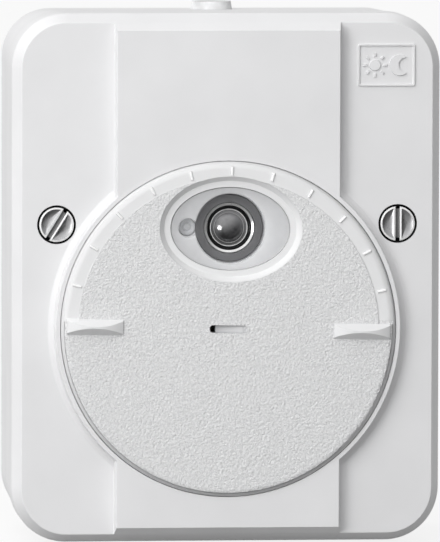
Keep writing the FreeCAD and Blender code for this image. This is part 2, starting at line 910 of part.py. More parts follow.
def make_photocell_barrel():
    """Black funnel inside the can that holds the lens."""
    outer = can_radius - can_wall
    front = can_front() - barrel_step
    return turned([
        (lens_radius, can_inside()), (outer, can_inside()), (outer, front), (outer - barrel_edge, front),
        (lens_radius, front - barrel_lip),
    ], z=window_z)


def lens_shoulder():
    """Depth at which the lens's dome begins."""
    return can_front() - barrel_step - barrel_lip


def make_photocell_lens():
    """Glass lens with a domed front, held by its rim in the barrel."""
    back = lens_shoulder() - lens_edge
    middle = lens_radius / math.sqrt(2)
    rise = lens_rise
    sphere = (lens_radius ** 2 + rise ** 2) / (2 * rise)
    bulge = math.sqrt(sphere ** 2 - middle ** 2) - (sphere - rise)
    return turned([
        (0, back), (lens_radius, back), (lens_radius, lens_shoulder()),
        (middle, lens_shoulder() + bulge, 0, lens_shoulder() + rise),
    ], z=window_z)


def make_photocell_chip():
    """Light-sensitive chip on the floor of the can."""
    return block(chip_size, chip_size, can_inside(), can_inside() + chip_thickness, 0, window_z)


def sensor_wire_places():
    """The photocell's three wires stand on a circle, one at each side and one below."""
    reach = sensor_wire_circle
    return [(-reach, window_z), (0, window_z - reach), (reach, window_z)]


def make_photocell_leads():
    """Three wires from the can through the sensor board."""
    tail = sensor_board_back - sensor_wire_tail
    return Part.makeCompound([
        block(sensor_wire, sensor_wire, tail, sensor_board_front, x, z) for x, z in sensor_wire_places()
    ])


def make_led():
    """Small clear indicator lamp on the sensor board, with a tapered tip."""
    tip = plate_front + led_proud
    return turned([
        (0, sensor_board_front), (led_flange, sensor_board_front), (led_flange, tip - led_chamfer),
        (led_flange - led_chamfer, tip), (0, tip),
    ], x=-led_offset, z=window_z)


def make_sensor_board():
    """Board that carries the photocell and the indicator, snapped in behind the dial."""
    back = sensor_board_back
    front = sensor_board_front
    hole = sensor_wire + 2 * running_fit
    holes = [block(hole, hole, back - 1, front + 1, x, z) for x, z in sensor_wire_places()]
    return block(sensor_board_length, sensor_board_width, back, front, 0, window_z).cut(holes)


def seal_groove():
    """Back and front depths of the hub's groove for its sealing ring."""
    middle = (floor_back + bearing_top) / 2
    return middle - hub_ring_height / 2, middle + hub_ring_height / 2


def make_hub_ring():
    """Sealing ring in the hub's groove, inside the bearing."""
    back, front = seal_groove()
    return square_ring(hub_radius - hub_ring_section, hub_radius + running_fit, back, front)


def make_retaining_ring():
    """Open spring ring in the hub's lower groove, under the well's floor."""
    inner = hub_radius - ring_groove_depth + running_fit
    ring = turned([
        (inner, ring_back), (ring_radius, ring_back), (ring_radius, ring_front), (inner, ring_front),
    ], z=dial_z, sweep=360 - ring_opening)
    return about_dial(ring, 90)


def make_rotor():
    """Potentiometer rotor: round in the potentiometer, hexagonal in the hub, bored for the lead."""
    round_part = rod(hub_bore - running_fit, control_front + seat_gap, hub_end - running_fit, 0, dial_z)
    driven = hexagon(rotor_corner, hub_end - running_fit, rotor_top())
    return round_part.fuse(driven).cut(rod(rotor_bore, 0, low_face, 0, dial_z)).removeSplitter()


def make_sensor_lead():
    """Flat lead from the sensor board into the hub and down the dial's axis."""
    half = lead_thickness / 2

    def on_bend(radius, degrees):
        angle = math.radians(degrees)
        return (lead_bend - radius * math.sin(angle), lead_depth - lead_bend + radius * math.cos(angle))

    inner = [on_bend(lead_bend - half, angle) for angle in (0, 45, 90)]
    outer = [on_bend(lead_bend + half, angle) for angle in (90, 45, 0)]
    section = profile_face([
        (lead_start, lead_depth + half), (lead_start, lead_depth - half), inner[0], (*inner[1], *inner[2]),
        (half, lead_tail), (-half, lead_tail), outer[0], (*outer[1], *outer[2]),
    ], lambda z, depth: at(-lead_width / 2, depth, dial_z + z))
    return section.extrude(along_x * lead_width)


def make_pot_body():
    """Potentiometer housing round the dial's axis."""
    body = block(pot_width, pot_width, control_front, pot_front, 0, dial_z)
    return body.cut(rod(hub_bore + running_fit, control_front - 1, pot_front + 1, 0, dial_z))


def make_control_board():
    """Board under the well's floor that carries the potentiometer."""
    height = control_board_above + control_board_below
    centre = dial_z + (control_board_above - control_board_below) / 2
    board = block(control_board_width, height, control_back, control_front, 0, centre)
    holes = [rod(lead_hole, control_back - 1, control_front + 1, 0, dial_z)]
    for x, z in control_screw_places():
        holes.append(rod(board_screw_radius + loose_fit, control_back - 1, control_front + 1, x, z))
    return board.cut(holes)


def board_screw(x, z, seat, direction):
    """Board screw whose head lies on a seat and whose shank points the other way."""
    tip = seat - direction * board_screw_length
    head_top = seat + direction * board_screw_head_height
    return turned([
        (0, tip), (board_screw_radius, tip), (board_screw_radius, seat), (board_screw_head_radius, seat),
        (board_screw_head_radius, head_top), (0, head_top),
    ], x, z)


def make_control_screws():
    """Screws that hold the control board to the cover's posts."""
    return Part.makeCompound([board_screw(x, z, control_back, -1) for x, z in control_screw_places()])


def chip_on_legs(size, seat, direction, x, z, legs):
    """Flat package standing off its board on two rows of legs."""
    length, width, height = size
    near = seat + direction * package_lift
    far = near + direction * height
    package = block(length, width, min(near, far), max(near, far), x, z)
    pitch = length / legs
    tall = near + direction * height / 2
    pins = []
    for row in (-1, 1):
        for leg in range(legs):
            leg_x = x - length / 2 + pitch * (leg + 0.5)
            leg_z = z + row * (width + package_leg) / 2
            pins.append(block(package_leg, package_leg, min(seat, tall), max(seat, tall), leg_x, leg_z))
    return package.fuse(pins).removeSplitter()


def make_comparator():
    """Comparator chip behind the control board."""
    return chip_on_legs(dip_size, control_back, -1, chip_x, dial_z + chip_z, 4)


def make_bridge():
    """Bridge rectifier on the power board, below the relay."""
    z = component_top - relay_size[1] - component_gap - bridge_size[1] / 2 - package_leg
    return chip_on_legs(bridge_size, power_front, 1, relay_x(), z, 2)


def make_relay_driver():
    """Small transistor behind the control board that switches the relay, with its lower corners cut."""
    width, depth, tall = transistor_size
    z = dial_z + transistor_z
    case = block(width, depth, control_back - tall, control_back, transistor_x, z)
    corners = [edge for edge in case.Edges if edge.BoundBox.YLength > tall / 2 and edge.BoundBox.ZMax < z]
    return case.makeChamfer(depth / 3, corners)


def power_screw_places():
    """The two posts, on one diagonal, that take the power board's screws."""
    return [(-board_screw_x, board_screw_z), (board_screw_x, -board_screw_z)]


def power_peg_places():
    """The two posts, on the other diagonal, whose pegs locate the power board."""
    return [(board_screw_x, board_screw_z), (-board_screw_x, -board_screw_z)]


def make_power_board():
    """Board on the base's posts, with two screw holes and two holes for the locating pegs."""
    back = power_back - 1
    front = power_front + 1
    holes = [rod(board_screw_radius + loose_fit, back, front, x, z) for x, z in power_screw_places()]
    peg_hole = board_peg + 2 * running_fit
    holes += [block(peg_hole, peg_hole, back, front, x, z) for x, z in power_peg_places()]
    return block(2 * board_half_x, 2 * board_half_z, power_back, power_front).cut(holes)


def make_power_screws():
    """Screws that hold the power board on its posts."""
    return Part.makeCompound([board_screw(x, z, power_front, 1) for x, z in power_screw_places()])


def pole_places():
    """Upright centre line of each terminal."""
    return [pole_spacing * (index - (pole_count - 1) / 2) for index in range(pole_count)]


def clamp_z():
    """Height of the terminal screws' axes."""
    return terminal_z - terminal_depth / 2 + clamp_inset


def cage_back():
    """Depth of the cages' backs, on the floors of the wire ways."""
    return power_front + wire_way_floor


def make_terminal_block():
    """Terminal housing: a wire way from below and a screw well from the front for each pole."""
    front = power_front + terminal_height
    bottom = terminal_z - terminal_depth / 2
    way_width, way_height = wire_way
    body = block(terminal_width, terminal_depth, power_front, front, 0, terminal_z)
    cuts = []
    for x in pole_places():
        cuts.append(block(way_width, 2 * wire_way_depth, cage_back(), cage_back() + way_height, x, bottom))
        cuts.append(block(screw_well, screw_well, cage_back(), front + 1, x, clamp_z()))
    top_edge = terminal_z + terminal_depth / 2
    cuts.append(block(2 * terminal_width, 2 * terminal_step, front - terminal_step, front + 1, 0, top_edge))
    return body.cut(cuts)


def make_terminal_cages():
    """Metal cages that draw up on the wires, one for each pole."""
    width, height, tall = cage_size
    back = cage_back()
    opening = width - 2 * cage_wall
    opening_back = back + cage_wall
    opening_front = back + tall - cage_wall
    cages = []
    for x in pole_places():
        cage = block(width, height, back, back + tall, x, clamp_z())
        cages.append(cage.cut(block(opening, 2 * height, opening_back, opening_front, x, clamp_z())))
    return Part.makeCompound(cages)


def make_terminal_screws():
    """Slotted screws that stand on the cages in the block's wells."""
    seat = cage_back() + cage_size[2]
    front = seat + clamp_screw_length
    slot_floor = front - clamp_slot_depth
    screws = []
    for x in pole_places():
        slot = block(clamp_slot_width, 3 * clamp_screw_radius, slot_floor, front + 1, x, clamp_z())
        screws.append(rod(clamp_screw_radius, seat, front, x, clamp_z()).cut(slot))
    return Part.makeCompound(screws)


def relay_x():
    """The relay stands by the board's left edge."""
    return -(board_half_x - component_edge - relay_size[0] / 2)


def front_edges(box):
    """Edges round the front face of a box."""
    test = lies_at_depth(-box.BoundBox.YMin)
    return [edge for edge in box.Edges if test(edge.BoundBox)]


def make_relay():
    """Switching relay: sealed box with chamfered front edges."""
    width, height, tall = relay_size
    z = component_top - height / 2
    box = block(width, height, power_front, power_front + tall, relay_x(), z)
    return box.makeChamfer(case_chamfer, front_edges(box))


def make_film_capacitor():
    """Film capacitor: box by the board's upper right corner, with chamfered front edges."""
    width, height, tall = film_size
    x = board_half_x - 2 * component_edge - width / 2
    z = component_top - height / 2
    box = block(width, height, power_front, power_front + tall, x, z)
    return box.makeChamfer(case_chamfer, front_edges(box))


def electrolytic_place():
    """The electrolytic capacitor stands below the film capacitor, by the right edge."""
    x = board_half_x - component_edge - electrolytic_radius
    z = component_top - film_size[1] - component_gap - electrolytic_radius
    return x, z


def make_electrolytic():
    """Electrolytic capacitor: upright can with a chamfered rim."""
    radius = electrolytic_radius
    x, z = electrolytic_place()
    top = power_front + electrolytic_height
    return turned([
        (0, power_front), (radius, power_front), (radius, top - case_chamfer),
        (radius - case_chamfer, top), (0, top),
    ], x, z)


def make_varistor():
    """Disc varistor standing on two wires."""
    z = component_top - film_size[1] - component_gap - package_leg - varistor_thickness / 2
    depth = power_front + varistor_lift + varistor_radius
    start = at(varistor_x, depth, z - varistor_thickness / 2)
    disc = Part.makeCylinder(varistor_radius, varistor_thickness, start, along_z)
    wires = []
    for side in (-1, 1):
        x = varistor_x + side * varistor_radius / 2
        wires.append(block(wire_thickness, wire_thickness, power_front, depth - varistor_radius / 2, x, z))
    return disc.fuse(wires).removeSplitter()


def make_resistors():
    """Row of wired resistors lying on the power board."""
    axis = power_front + resistor_radius
    half = wire_thickness / 2
    reach = resistor_length + 2 * resistor_wire
    group = []
    for index in range(resistor_count):
        x = resistor_x + resistor_spacing * index
        start = at(x, axis, resistor_z - resistor_length / 2)
        pieces = [block(wire_thickness, reach, axis - half, axis + half, x, resistor_z)]
        for side in (-1, 1):
            foot_z = resistor_z + side * (reach / 2 - half)
            pieces.append(block(wire_thickness, wire_thickness, power_front, axis + half, x, foot_z))
        body = Part.makeCylinder(resistor_radius, resistor_length, start, along_z)
        group.append(body.fuse(pieces).removeSplitter())
    return Part.makeCompound(group)


def make_fuse():
    """Small block fuse just above the terminals."""
    width, height, tall = fuse_size
    z = terminal_z + terminal_depth / 2 + component_gap + height / 2
    box = block(width, height, power_front, power_front + tall, fuse_x, z)
    return box.makeChamfer(case_chamfer, front_edges(box))


def link_pin_places():
    """Two rows of pins that join the boards."""
    first = -(link_pins_long - 1) / 2
    return [
        (-link_x + side * link_pin_spacing / 2, link_z + link_pin_spacing * (first + index))
        for side in (-1, 1) for index in range(link_pins_long)
    ]


def link_block(back, front):
    """Moulded strip round both rows of pins."""
    return block(2 * link_pin_spacing, link_pins_long * link_pin_spacing, back, front, -link_x, link_z)


def make_link_header():
    """Strip on the power board that holds the pins."""
    width = link_pin_width
    holes = [block(width, width, 0, low_face, x, z) for x, z in link_pin_places()]
    return link_block(power_front, power_front + link_header_height).cut(holes)


def make_link_pins():
    """Square pins that reach from the power board into the socket."""
    width = link_pin_width
    front = control_back - link_pin_end_gap
    return Part.makeCompound([block(width, width, power_front, front, x, z) for x, z in link_pin_places()])


def make_link_socket():
    """Socket behind the control board that the pins plug into."""
    width = link_pin_width + 2 * running_fit
    hole_front = control_back - link_socket_web
    holes = [block(width, width, 0, hole_front, x, z) for x, z in link_pin_places()]
    return link_block(control_back - link_socket_height, control_back).cut(holes)


fixed_pieces = {
    "base_box": make_base,
    "cover": make_cover,
    "cover_gasket": make_gasket,
    "cover_screws": make_cover_screws,
    "screw_seal_rings": make_screw_rings,
    "cable_grommet_top": lambda: make_grommet(1, 0),
    "cable_grommet_bottom": lambda: make_grommet(-1, entry_bore),
    "power_board": make_power_board,
    "power_board_screws": make_power_screws,
    "terminal_block": make_terminal_block,
    "terminal_cages": make_terminal_cages,
    "terminal_screws": make_terminal_screws,
    "relay": make_relay,
    "film_capacitor": make_film_capacitor,
    "electrolytic_capacitor": make_electrolytic,
    "varistor": make_varistor,
    "bridge_rectifier": make_bridge,
    "resistors": make_resistors,
    "fuse": make_fuse,
    "link_header": make_link_header,
    "link_pins": make_link_pins,
    "link_socket": make_link_socket,
    "control_board": make_control_board,
    "control_board_screws": make_control_screws,
    "comparator_chip": make_comparator,
    "relay_driver": make_relay_driver,
    "potentiometer_body": make_pot_body,
}
turning_pieces = {
    "dial": make_dial,
    "dial_window": make_window,
    "sensor_plate": make_sensor_plate,
    "sensor_mask": make_sensor_mask,
    "photocell_can": make_photocell_can,
    "photocell_barrel": make_photocell_barrel,
    "photocell_lens": make_photocell_lens,
    "photocell_chip": make_photocell_chip,
    "photocell_leads": make_photocell_leads,
    "indicator_led": make_led,
    "sensor_board": make_sensor_board,
    "hub_seal_ring": make_hub_ring,
    "dial_retaining_ring": make_retaining_ring,
    "potentiometer_rotor": make_rotor,
    "sensor_lead": make_sensor_lead,
}

os.makedirs("parts", exist_ok=True)
for name, make in fixed_pieces.items():
    make().exportStep(f"parts/{name}.step")
for name, make in turning_pieces.items():
    about_dial(make(), dial_turn).exportStep(f"parts/{name}.step")
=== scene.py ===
"""Looks of the twilight switch: finishes for its moulded, metal, glass and rubber pieces, the embossed badge on
its cover, and the plain studio that it is shown in. Lengths are in metres, in the frame of the wall."""

import bmesh
import bpy
import math
from bpy.props import FloatProperty, FloatVectorProperty, PointerProperty
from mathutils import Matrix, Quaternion, Vector


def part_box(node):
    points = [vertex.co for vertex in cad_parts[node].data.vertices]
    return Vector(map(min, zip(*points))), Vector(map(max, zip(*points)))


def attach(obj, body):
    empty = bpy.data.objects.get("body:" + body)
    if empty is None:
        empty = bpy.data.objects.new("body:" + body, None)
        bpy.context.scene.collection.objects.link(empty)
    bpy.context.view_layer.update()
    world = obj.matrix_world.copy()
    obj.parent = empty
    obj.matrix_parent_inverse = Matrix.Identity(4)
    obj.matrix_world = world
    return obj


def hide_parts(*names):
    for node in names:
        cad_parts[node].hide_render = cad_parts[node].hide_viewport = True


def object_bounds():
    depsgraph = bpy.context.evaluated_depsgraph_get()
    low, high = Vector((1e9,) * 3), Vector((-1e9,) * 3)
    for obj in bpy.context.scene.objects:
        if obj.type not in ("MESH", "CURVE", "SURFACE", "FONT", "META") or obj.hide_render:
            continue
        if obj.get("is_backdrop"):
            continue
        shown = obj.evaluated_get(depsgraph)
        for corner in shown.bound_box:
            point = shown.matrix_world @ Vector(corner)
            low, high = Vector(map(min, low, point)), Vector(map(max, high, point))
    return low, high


bl_info = {
    "name": "Twilight switch",
    "version": (1, 0, 0),
    "blender": (4, 5, 0),
    "location": "3D View > Sidebar > Switch",
    "description": "Builds the finishes, the badge and the studio of a twilight switch",
    "category": "Object",
}

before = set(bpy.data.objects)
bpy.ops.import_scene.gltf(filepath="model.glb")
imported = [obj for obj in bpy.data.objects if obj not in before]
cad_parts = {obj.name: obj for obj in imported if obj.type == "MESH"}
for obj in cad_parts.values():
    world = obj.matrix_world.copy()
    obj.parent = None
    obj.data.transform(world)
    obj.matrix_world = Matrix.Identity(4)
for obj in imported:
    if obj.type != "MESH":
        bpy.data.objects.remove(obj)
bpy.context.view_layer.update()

MM = 0.001

# Places on the switch, in millimetres, as in the frame; depths count from the wall
LOW_FACE = 45.0
DIAL_Z = -9.6
DIAL_FACE = 48.3
DIAL_RADIUS = 32.5
HEAD_RADIUS = 3.39

# Levels on the dial, in millimetres from its face or its middle, that part one finish from the next
SLOT_TOP = 0.02
RECESS_TOP = 0.3
MARK_FOOT = 0.06
MARK_TOP = 0.3
RING_END = 1.6
MARKS_END = 4.0

# Badge: its seat in the cover, in millimetres, and its forms as parts of its width, height, sun or moon
BADGE_SEAT = 0.02
FRAME_CORNER = 0.25
SUN_SHIFT = 0.2
SUN_RADIUS = 0.14
RAY_REACH = (1.35, 2.05)
RAY_HALF = 0.42
MOON_SHIFT = 0.23
MOON_RADIUS = 0.25
HOLLOW_SHIFT = 0.62

# Cover screws: how many degrees the left and the right slot lean to the right, and at which shares of its reach a
# face's hollow has points; then, in millimetres, where the block of a half ends under its face, how far the face's
# plate stands in its rim and goes down, how far block and slot's floor overlap, and the height of the floor's bar
SLOT_LEANS = (32.0, 0.0)
DISH_STEPS = (0.94, 0.85, 0.7, 0.5, 0.25)
BLOCK_DROP = 0.12
PLATE_INSET = 0.01
PLATE_DEPTH = 0.05
FLOOR_SEAT = 0.02
FLOOR_BAR = 0.3

# Photocell's eye: radii, heights, and depths behind the can's front, in millimetres
CAN_WALL = 0.25
CAN_BASE = 0.4
MOUTH_WIDTH = 0.5
MOUTH_DROP = 0.22
MOUTH_FOOT = 0.36
OUTER_TRIM = (3.5, 3.65)
INNER_TRIM = (2.86, 2.97)
TRIM_TOP = 0.5
TRIM_HEIGHT = 0.3
BARREL_BORE = 3.68
BARREL_FOOT = 0.5
BARREL_SLOPE = (0.52, 0.4)
BARREL_CREST = ((4.15, 0.26), (3.85, 0.36))
BARREL_CLEARANCE = 0.02
LENS_TOP = 0.62
LENS_REACH = 2.85
LENS_RISE = 0.95
LENS_LEDGE = (3.1, 3.5, 3.66)
LENS_STEP = 0.1
LENS_HEIGHT = 0.8

# Indicator lamp: radii and depths of the ring groove in its front, in millimetres
GROOVE_OUTER = (0.92, 0.84)
GROOVE_INNER = (0.7, 0.62)
GROOVE_DEPTH = 0.16
LAMP_SHOULDER = (0.2, 0.12)

# Directions that the surround's light comes from
GLOW_FROM = (-0.78, -0.45, 0.42)
MIRRORED_ROOM_FROM = (-0.40, -0.46, 0.79)

# Studio, in metres: half the width of its floor, and the places, aims and widths of its lamps
STUDIO_REACH = 30.0
KEY_PLACE = (-0.24, -0.40, 0.26)
KEY_AIM = (0.0, -0.04, 0.0)
KEY_SIZE = 0.4
CATCH_PLACE = (-0.555, -0.695, -0.05)
CATCH_AIM = (0.0, -0.045, 0.01)
CATCH_SIZE = 0.324


def length(name, description, default):
    """Size property, in metres, shown in the scene's unit."""
    return FloatProperty(name=name, description=description, default=default, min=0.0, subtype="DISTANCE",
                         unit="LENGTH", precision=5)


def place(name, description, default):
    """Place property, in metres; it can be on either side of nothing."""
    return FloatProperty(name=name, description=description, default=default, subtype="DISTANCE", unit="LENGTH",
                         precision=5)


def angle(name, description, degrees):
    """Angle property, given in degrees."""
    return FloatProperty(name=name, description=description, default=math.radians(degrees), subtype="ANGLE",
                         unit="ROTATION")


def power(name, description, default):
    """Power property, in watts."""
    return FloatProperty(name=name, description=description, default=default, min=0.0, subtype="POWER",
                         unit="POWER")


def colour(name, description, default):
    """Colour property in linear light."""
    return FloatVectorProperty(name=name, description=description, default=default, size=3, min=0.0, max=1.0,
                               subtype="COLOR")


def share(name, description, default, top=1.0):
    """Plain number between nothing and a top value."""
    return FloatProperty(name=name, description=description, default=default, min=0.0, max=top, subtype="FACTOR")


class HousingSettings(bpy.types.PropertyGroup):
    """Finish of the box and its cover."""

    shade: colour("Shade", "Colour of the housing's plastic", (0.795, 0.795, 0.803))
    grain: length("Grain size", "Distance between the bumps of the fine grain", 0.00055)
    grain_depth: length("Grain depth", "Height of the fine grain", 0.000005)
    edge: length("Edge rounding", "Radius that the light sees on the moulded edges", 0.0001)
    gloss: share("Roughness", "Roughness of the plastic's surface", 0.42)


class DialSettings(bpy.types.PropertyGroup):
    """Finish of the turning dial."""

    shade: colour("Shade", "Colour of the dial's plastic", (0.782, 0.789, 0.805))
    grain: length("Grain size", "Distance between the folds of the leather grain", 0.00035)
    grain_depth: length("Grain depth", "Height of the leather grain", 0.00025)
    ring_share: share("Ring's tone", "How much lighter the smooth scale ring is", 1.06, 1.5)
    # Painted highlight: the raised scale marks are lightened in colour.
    mark_painted_highlight_share: share("Marks' tone", "How much lighter the scale marks are", 1.26, 1.5)
    # Painted shade: the middle slot's hollow is darkened in colour, most along its top and bottom walls.
    slot_painted_shade_share: share("Slot's tone", "How much of the tone is left in the dirt of the middle slot", 0.8)
    slot_reach: length("Slot's reach", "Radius round the middle that holds the slot", 0.0045)
    slot_corner: length("Slot's corners", "How far from the slot's middle line the dirt is thickest", 0.0005)
    scale_inner: length("Scale ring's inner radius", "Where the smooth scale ring starts", 0.0292)
    rim_from: length("Rim's start", "Radius from which the dial's face falls to its rim", 0.031)
    rim_fall: length("Rim's fall", "How far the face falls to its rim", 0.0006)
    edge: length("Edge rounding", "Radius that the light sees on the dial's edges", 0.0001)
    gloss: share("Roughness", "Roughness of the plastic's surface", 0.45)


class BadgeSettings(bpy.types.PropertyGroup):
    """Embossed frame with a sun and a crescent on the cover's right shoulder."""

    width: length("Width", "Outside width of the frame", 0.01125)
    height: length("Height", "Outside height of the frame", 0.0083)
    line: length("Line", "Width of the raised lines", 0.0005)
    rise: length("Rise", "How far the lines stand up from the cover", 0.0004)
    centre_x: place("Across", "Badge's place to the right of the middle", 0.03083)
    centre_z: place("Up", "Badge's place above the middle", 0.0413)


class SensorSettings(bpy.types.PropertyGroup):
    """Finish of the window, the photocell and the indicator lamp."""

    tray_shade: colour("Tray shade", "Colour of the light tray", (0.80, 0.805, 0.815))
    mask_shade: colour("Ring shade", "Colour of the ring round the photocell", (0.16, 0.16, 0.166))
    can_shade: colour("Can shade", "Colour of the plated can", (0.92, 0.92, 0.92))
    lens_shade: colour("Lens shade", "Tint of the photocell's lens where it is lightest", (0.2, 0.2, 0.207))
    lens_gloss: FloatProperty(name="Lens gloss", description="Refractive index of the lens's clear gloss",
                              default=2.0, min=1.0, max=3.0)
    lamp_shade: colour("Lamp shade", "Tint of the indicator lamp", (0.72, 0.73, 0.75))
    satin_shade: colour("Window shade", "Colour of the window's satin surface", (0.865, 0.87, 0.885))
    satin_gloss: share("Window roughness", "Roughness of the window's surface", 0.3)
    satin: share("Window satin", "How much of the light the window's satin surface stops", 0.5)
    film: share("Window film", "How much the polished parts of the window are seen", 0.003)
    eye_round: length("Eye's round", "Radius of the polished round over the photocell", 0.0067)
    lamp_round: length("Lamp's round", "Radius of the polished round over the indicator lamp", 0.0017)
    blend: length("Blend", "Width over which the satin fades in", 0.0003)


class MetalSettings(bpy.types.PropertyGroup):
    """Finish of the screws and other metal pieces."""

    steel: colour("Steel", "Colour of the plated steel", (0.74, 0.74, 0.75))
    brass: colour("Brass", "Colour of the brass", (0.75, 0.58, 0.28))
    turning: length("Wear marks", "Distance between the wear marks on the screw heads", 0.00015)
    head: length("Head radius", "Radius of the cover screws' heads", 0.00333)
    head_height: length("Head height", "Height of the cover screws' heads", 0.0026)
    shank: length("Shank radius", "Radius of the cover screws' shanks", 0.00195)
    slot: length("Slot width", "Width of the screw slots", 0.00085)
    slot_depth: length("Slot depth", "Depth of the screw slots", 0.0011)
    rim: length("Rim width", "Width of the bevel round each half of a head", 0.00034)
    rim_drop: length("Rim drop", "How far the bevel drops to its outer edge", 0.0001)
    dish: length("Dish", "How deep the face of each half of a head is dished", 0.0002)
    sag: length("Slot's sag", "How far the slot's floor sags to its middle", 0.00007)
    slot_end: length("Slot's end", "Width of the bevel at each end of a slot", 0.0005)
    # The rims' pale colour is a painted highlight on the bevels.
    rim_highlight_shade: colour("Rim shade", "Colour of the painted_highlight bright rims", (0.95, 0.95, 0.95))


class StageSettings(bpy.types.PropertyGroup):
    """Camera, lamps and floor."""

    azimuth: angle("Azimuth", "Camera's turn to the right of the front", -5.4)
    elevation: angle("Elevation", "Camera's height above the horizon", 4.25)
    roll: angle("Roll", "Camera's turn about its own axis", 0.152)
    distance: length("Distance", "Camera's distance from the cover", 2.0)
    lens: FloatProperty(name="Lens", description="Focal length, in millimetres", default=686.4, min=1.0)
    aim_x: place("Aim across", "Where the camera looks, across the cover", -0.00142)
    aim_z: place("Aim up", "Where the camera looks, up the cover", 0.00147)
    key_power: power("Key power", "Power of the soft lamp at the upper left", 0.88)
    catch_power: power("Catch power", "Power of the small lamp at the left, which the lens mirrors", 2.2)
    surround: share("Surround", "Brightness of the studio's soft surround", 0.475, 4.0)
    glow: share("Glow", "How much brighter the surround is at the upper left", 1.25, 4.0)
    floor_bounce: share("Floor bounce", "How much light the floor returns", 0.30)


# Node helpers


class Nodes:
    """Node tree under construction, with the coordinates that its textures start from."""

    def __init__(self, tree):
        self.tree = tree
        self.tree.nodes.clear()
        self.place = self.node("ShaderNodeTexCoord")

    def node(self, kind, **values):
        """New node, with values for its inputs by name."""
        made = self.tree.nodes.new(kind)
        for key, value in values.items():
            made.inputs[key.replace("_", " ")].default_value = value
        return made

    def link(self, socket, end, value):
        """Link from a socket to a node's input."""
        self.tree.links.new(socket, end.inputs[value])

    def join(self, start, output, end, value):
        """Link from one node's output to another's input."""
        self.link(start.outputs[output], end, value)

    def maths(self, operation, first, second=None, third=None):
        """Maths node; an operand is a number or a socket."""
        made = self.node("ShaderNodeMath")
        made.operation = operation
        for index, value in enumerate((first, second, third)):
            if value is None:
                continue
            if isinstance(value, (int, float)):
                made.inputs[index].default_value = value
            else:
                self.link(value, made, index)
        return made.outputs[0]

    def times(self, first, second):
        """Product of two values."""
        return self.maths("MULTIPLY", first, second)

    def over(self, value, level):
        """One where a value is over a level, and nothing elsewhere."""
        return self.maths("GREATER_THAN", value, level)

    def under(self, value, level):
        """One where a value is under a level, and nothing elsewhere."""
        return self.maths("LESS_THAN", value, level)

    def away(self, across, up):
        """Distance from an axis, from its two parts at right angles."""
        return self.maths("SQRT", self.maths("ADD", self.times(across, across), self.times(up, up)))

    def noise(self, size, detail=3.0, roughness=0.5, distortion=0.0, vector=None):
        """Noise whose features are about as large as a size in metres."""
        made = self.node("ShaderNodeTexNoise", Scale=1.0 / size, Detail=detail, Roughness=roughness,
                         Distortion=distortion)
        self.link(vector or self.place.outputs["Object"], made, "Vector")
        return made.outputs["Fac"]

    def streaks(self, size, squeeze, turn=0.0):
        """Noise drawn out along one way, which is turned about the depth by an angle."""
        made = self.node("ShaderNodeMapping", Rotation=(0.0, turn, 0.0), Scale=(1.0, 1.0, squeeze))
        self.join(self.place, "Object", made, "Vector")
        return self.noise(size, vector=made.outputs["Vector"])

    def cells(self, size):
        """Softened distance to the nearest of scattered points, about a size apart."""
        made = self.node("ShaderNodeTexVoronoi", Scale=1.0 / size)
        made.feature = "SMOOTH_F1"
        self.join(self.place, "Object", made, "Vector")
        return made.outputs["Distance"]

    def span(self, value, low, high, start=0.0, end=1.0):
        """Value mapped from one range to another and held at its ends."""
        made = self.node("ShaderNodeMapRange", From_Min=low, From_Max=high, To_Min=start, To_Max=end)
        self.link(value, made, "Value")
        return made.outputs["Result"]

    def bump(self, height, depth, normal=None):
        """Bump of a real depth, in metres, on top of a normal."""
        made = self.node("ShaderNodeBump", Strength=1.0, Distance=depth)
        self.link(height, made, "Height")
        if normal is not None:
            self.link(normal, made, "Normal")
        return made.outputs["Normal"]

    def soft_edges(self, radius):
        """Normal that rounds the piece's edges for the light."""
        made = self.node("ShaderNodeBevel", Radius=radius)
        made.samples = 4
        return made.outputs["Normal"]

    def split(self, socket):
        """The three parts of a vector."""
        made = self.node("ShaderNodeSeparateXYZ")
        self.link(socket, made, 0)
        return made.outputs


class Finish(Nodes):
    """Procedural material under construction, on the object's own coordinates."""

    def __init__(self, name, roughness, shade=None):
        self.material = bpy.data.materials.new(name)
        self.material.use_nodes = True
        super().__init__(self.material.node_tree)
        self.output = self.node("ShaderNodeOutputMaterial")
        self.shader = self.node("ShaderNodeBsdfPrincipled", Roughness=roughness)
        if shade is not None:
            self.shader.inputs["Base Color"].default_value = (*shade, 1.0)
            self.material.diffuse_color = (*shade, 1.0)
        self.join(self.shader, "BSDF", self.output, "Surface")

    def shade_by(self, value, dark, light):
        """Base colour that runs from a dark to a light tone with a value."""
        made = self.node("ShaderNodeMix")
        made.data_type = "RGBA"
        made.inputs[6].default_value = (*dark, 1.0)
        made.inputs[7].default_value = (*light, 1.0)
        self.link(value, made, 0)
        self.join(made, 2, self.shader, "Base Color")

    def mottle(self, value, shade, dark, light, low=0.3, high=0.7):
        """Base colour between two tones of a shade, by a noise."""
        self.shade_by(self.span(value, low, high), toned(shade, dark), toned(shade, light))

    def set(self, **values):
        """Values on the main shader's own sockets."""
        for key, value in values.items():
            self.shader.inputs[key.replace("_", " ")].default_value = value

    def feed(self, socket, name):
        """Socket of the main shader driven by a texture."""
        self.link(socket, self.shader, name)


class Surround(Nodes):
    """Background light of the studio."""

    def __init__(self):
        world = bpy.data.worlds.new("Studio")
        bpy.context.scene.world = world
        world.use_nodes = True
        super().__init__(world.node_tree)
        self.light = self.node("ShaderNodeBackground")
        output = self.node("ShaderNodeOutputWorld")
        self.join(self.light, "Background", output, "Surface")

    def along(self, direction):
        """How far a ray points along a direction, from -1 to 1."""
        made = self.node("ShaderNodeVectorMath")
        made.operation = "DOT_PRODUCT"
        made.inputs[1].default_value = Vector(direction).normalized()
        self.join(self.place, "Generated", made, 0)
        return made.outputs["Value"]


def toned(shade, factor):
    """A colour made darker or lighter."""
    return tuple(min(1.0, part * factor) for part in shade)


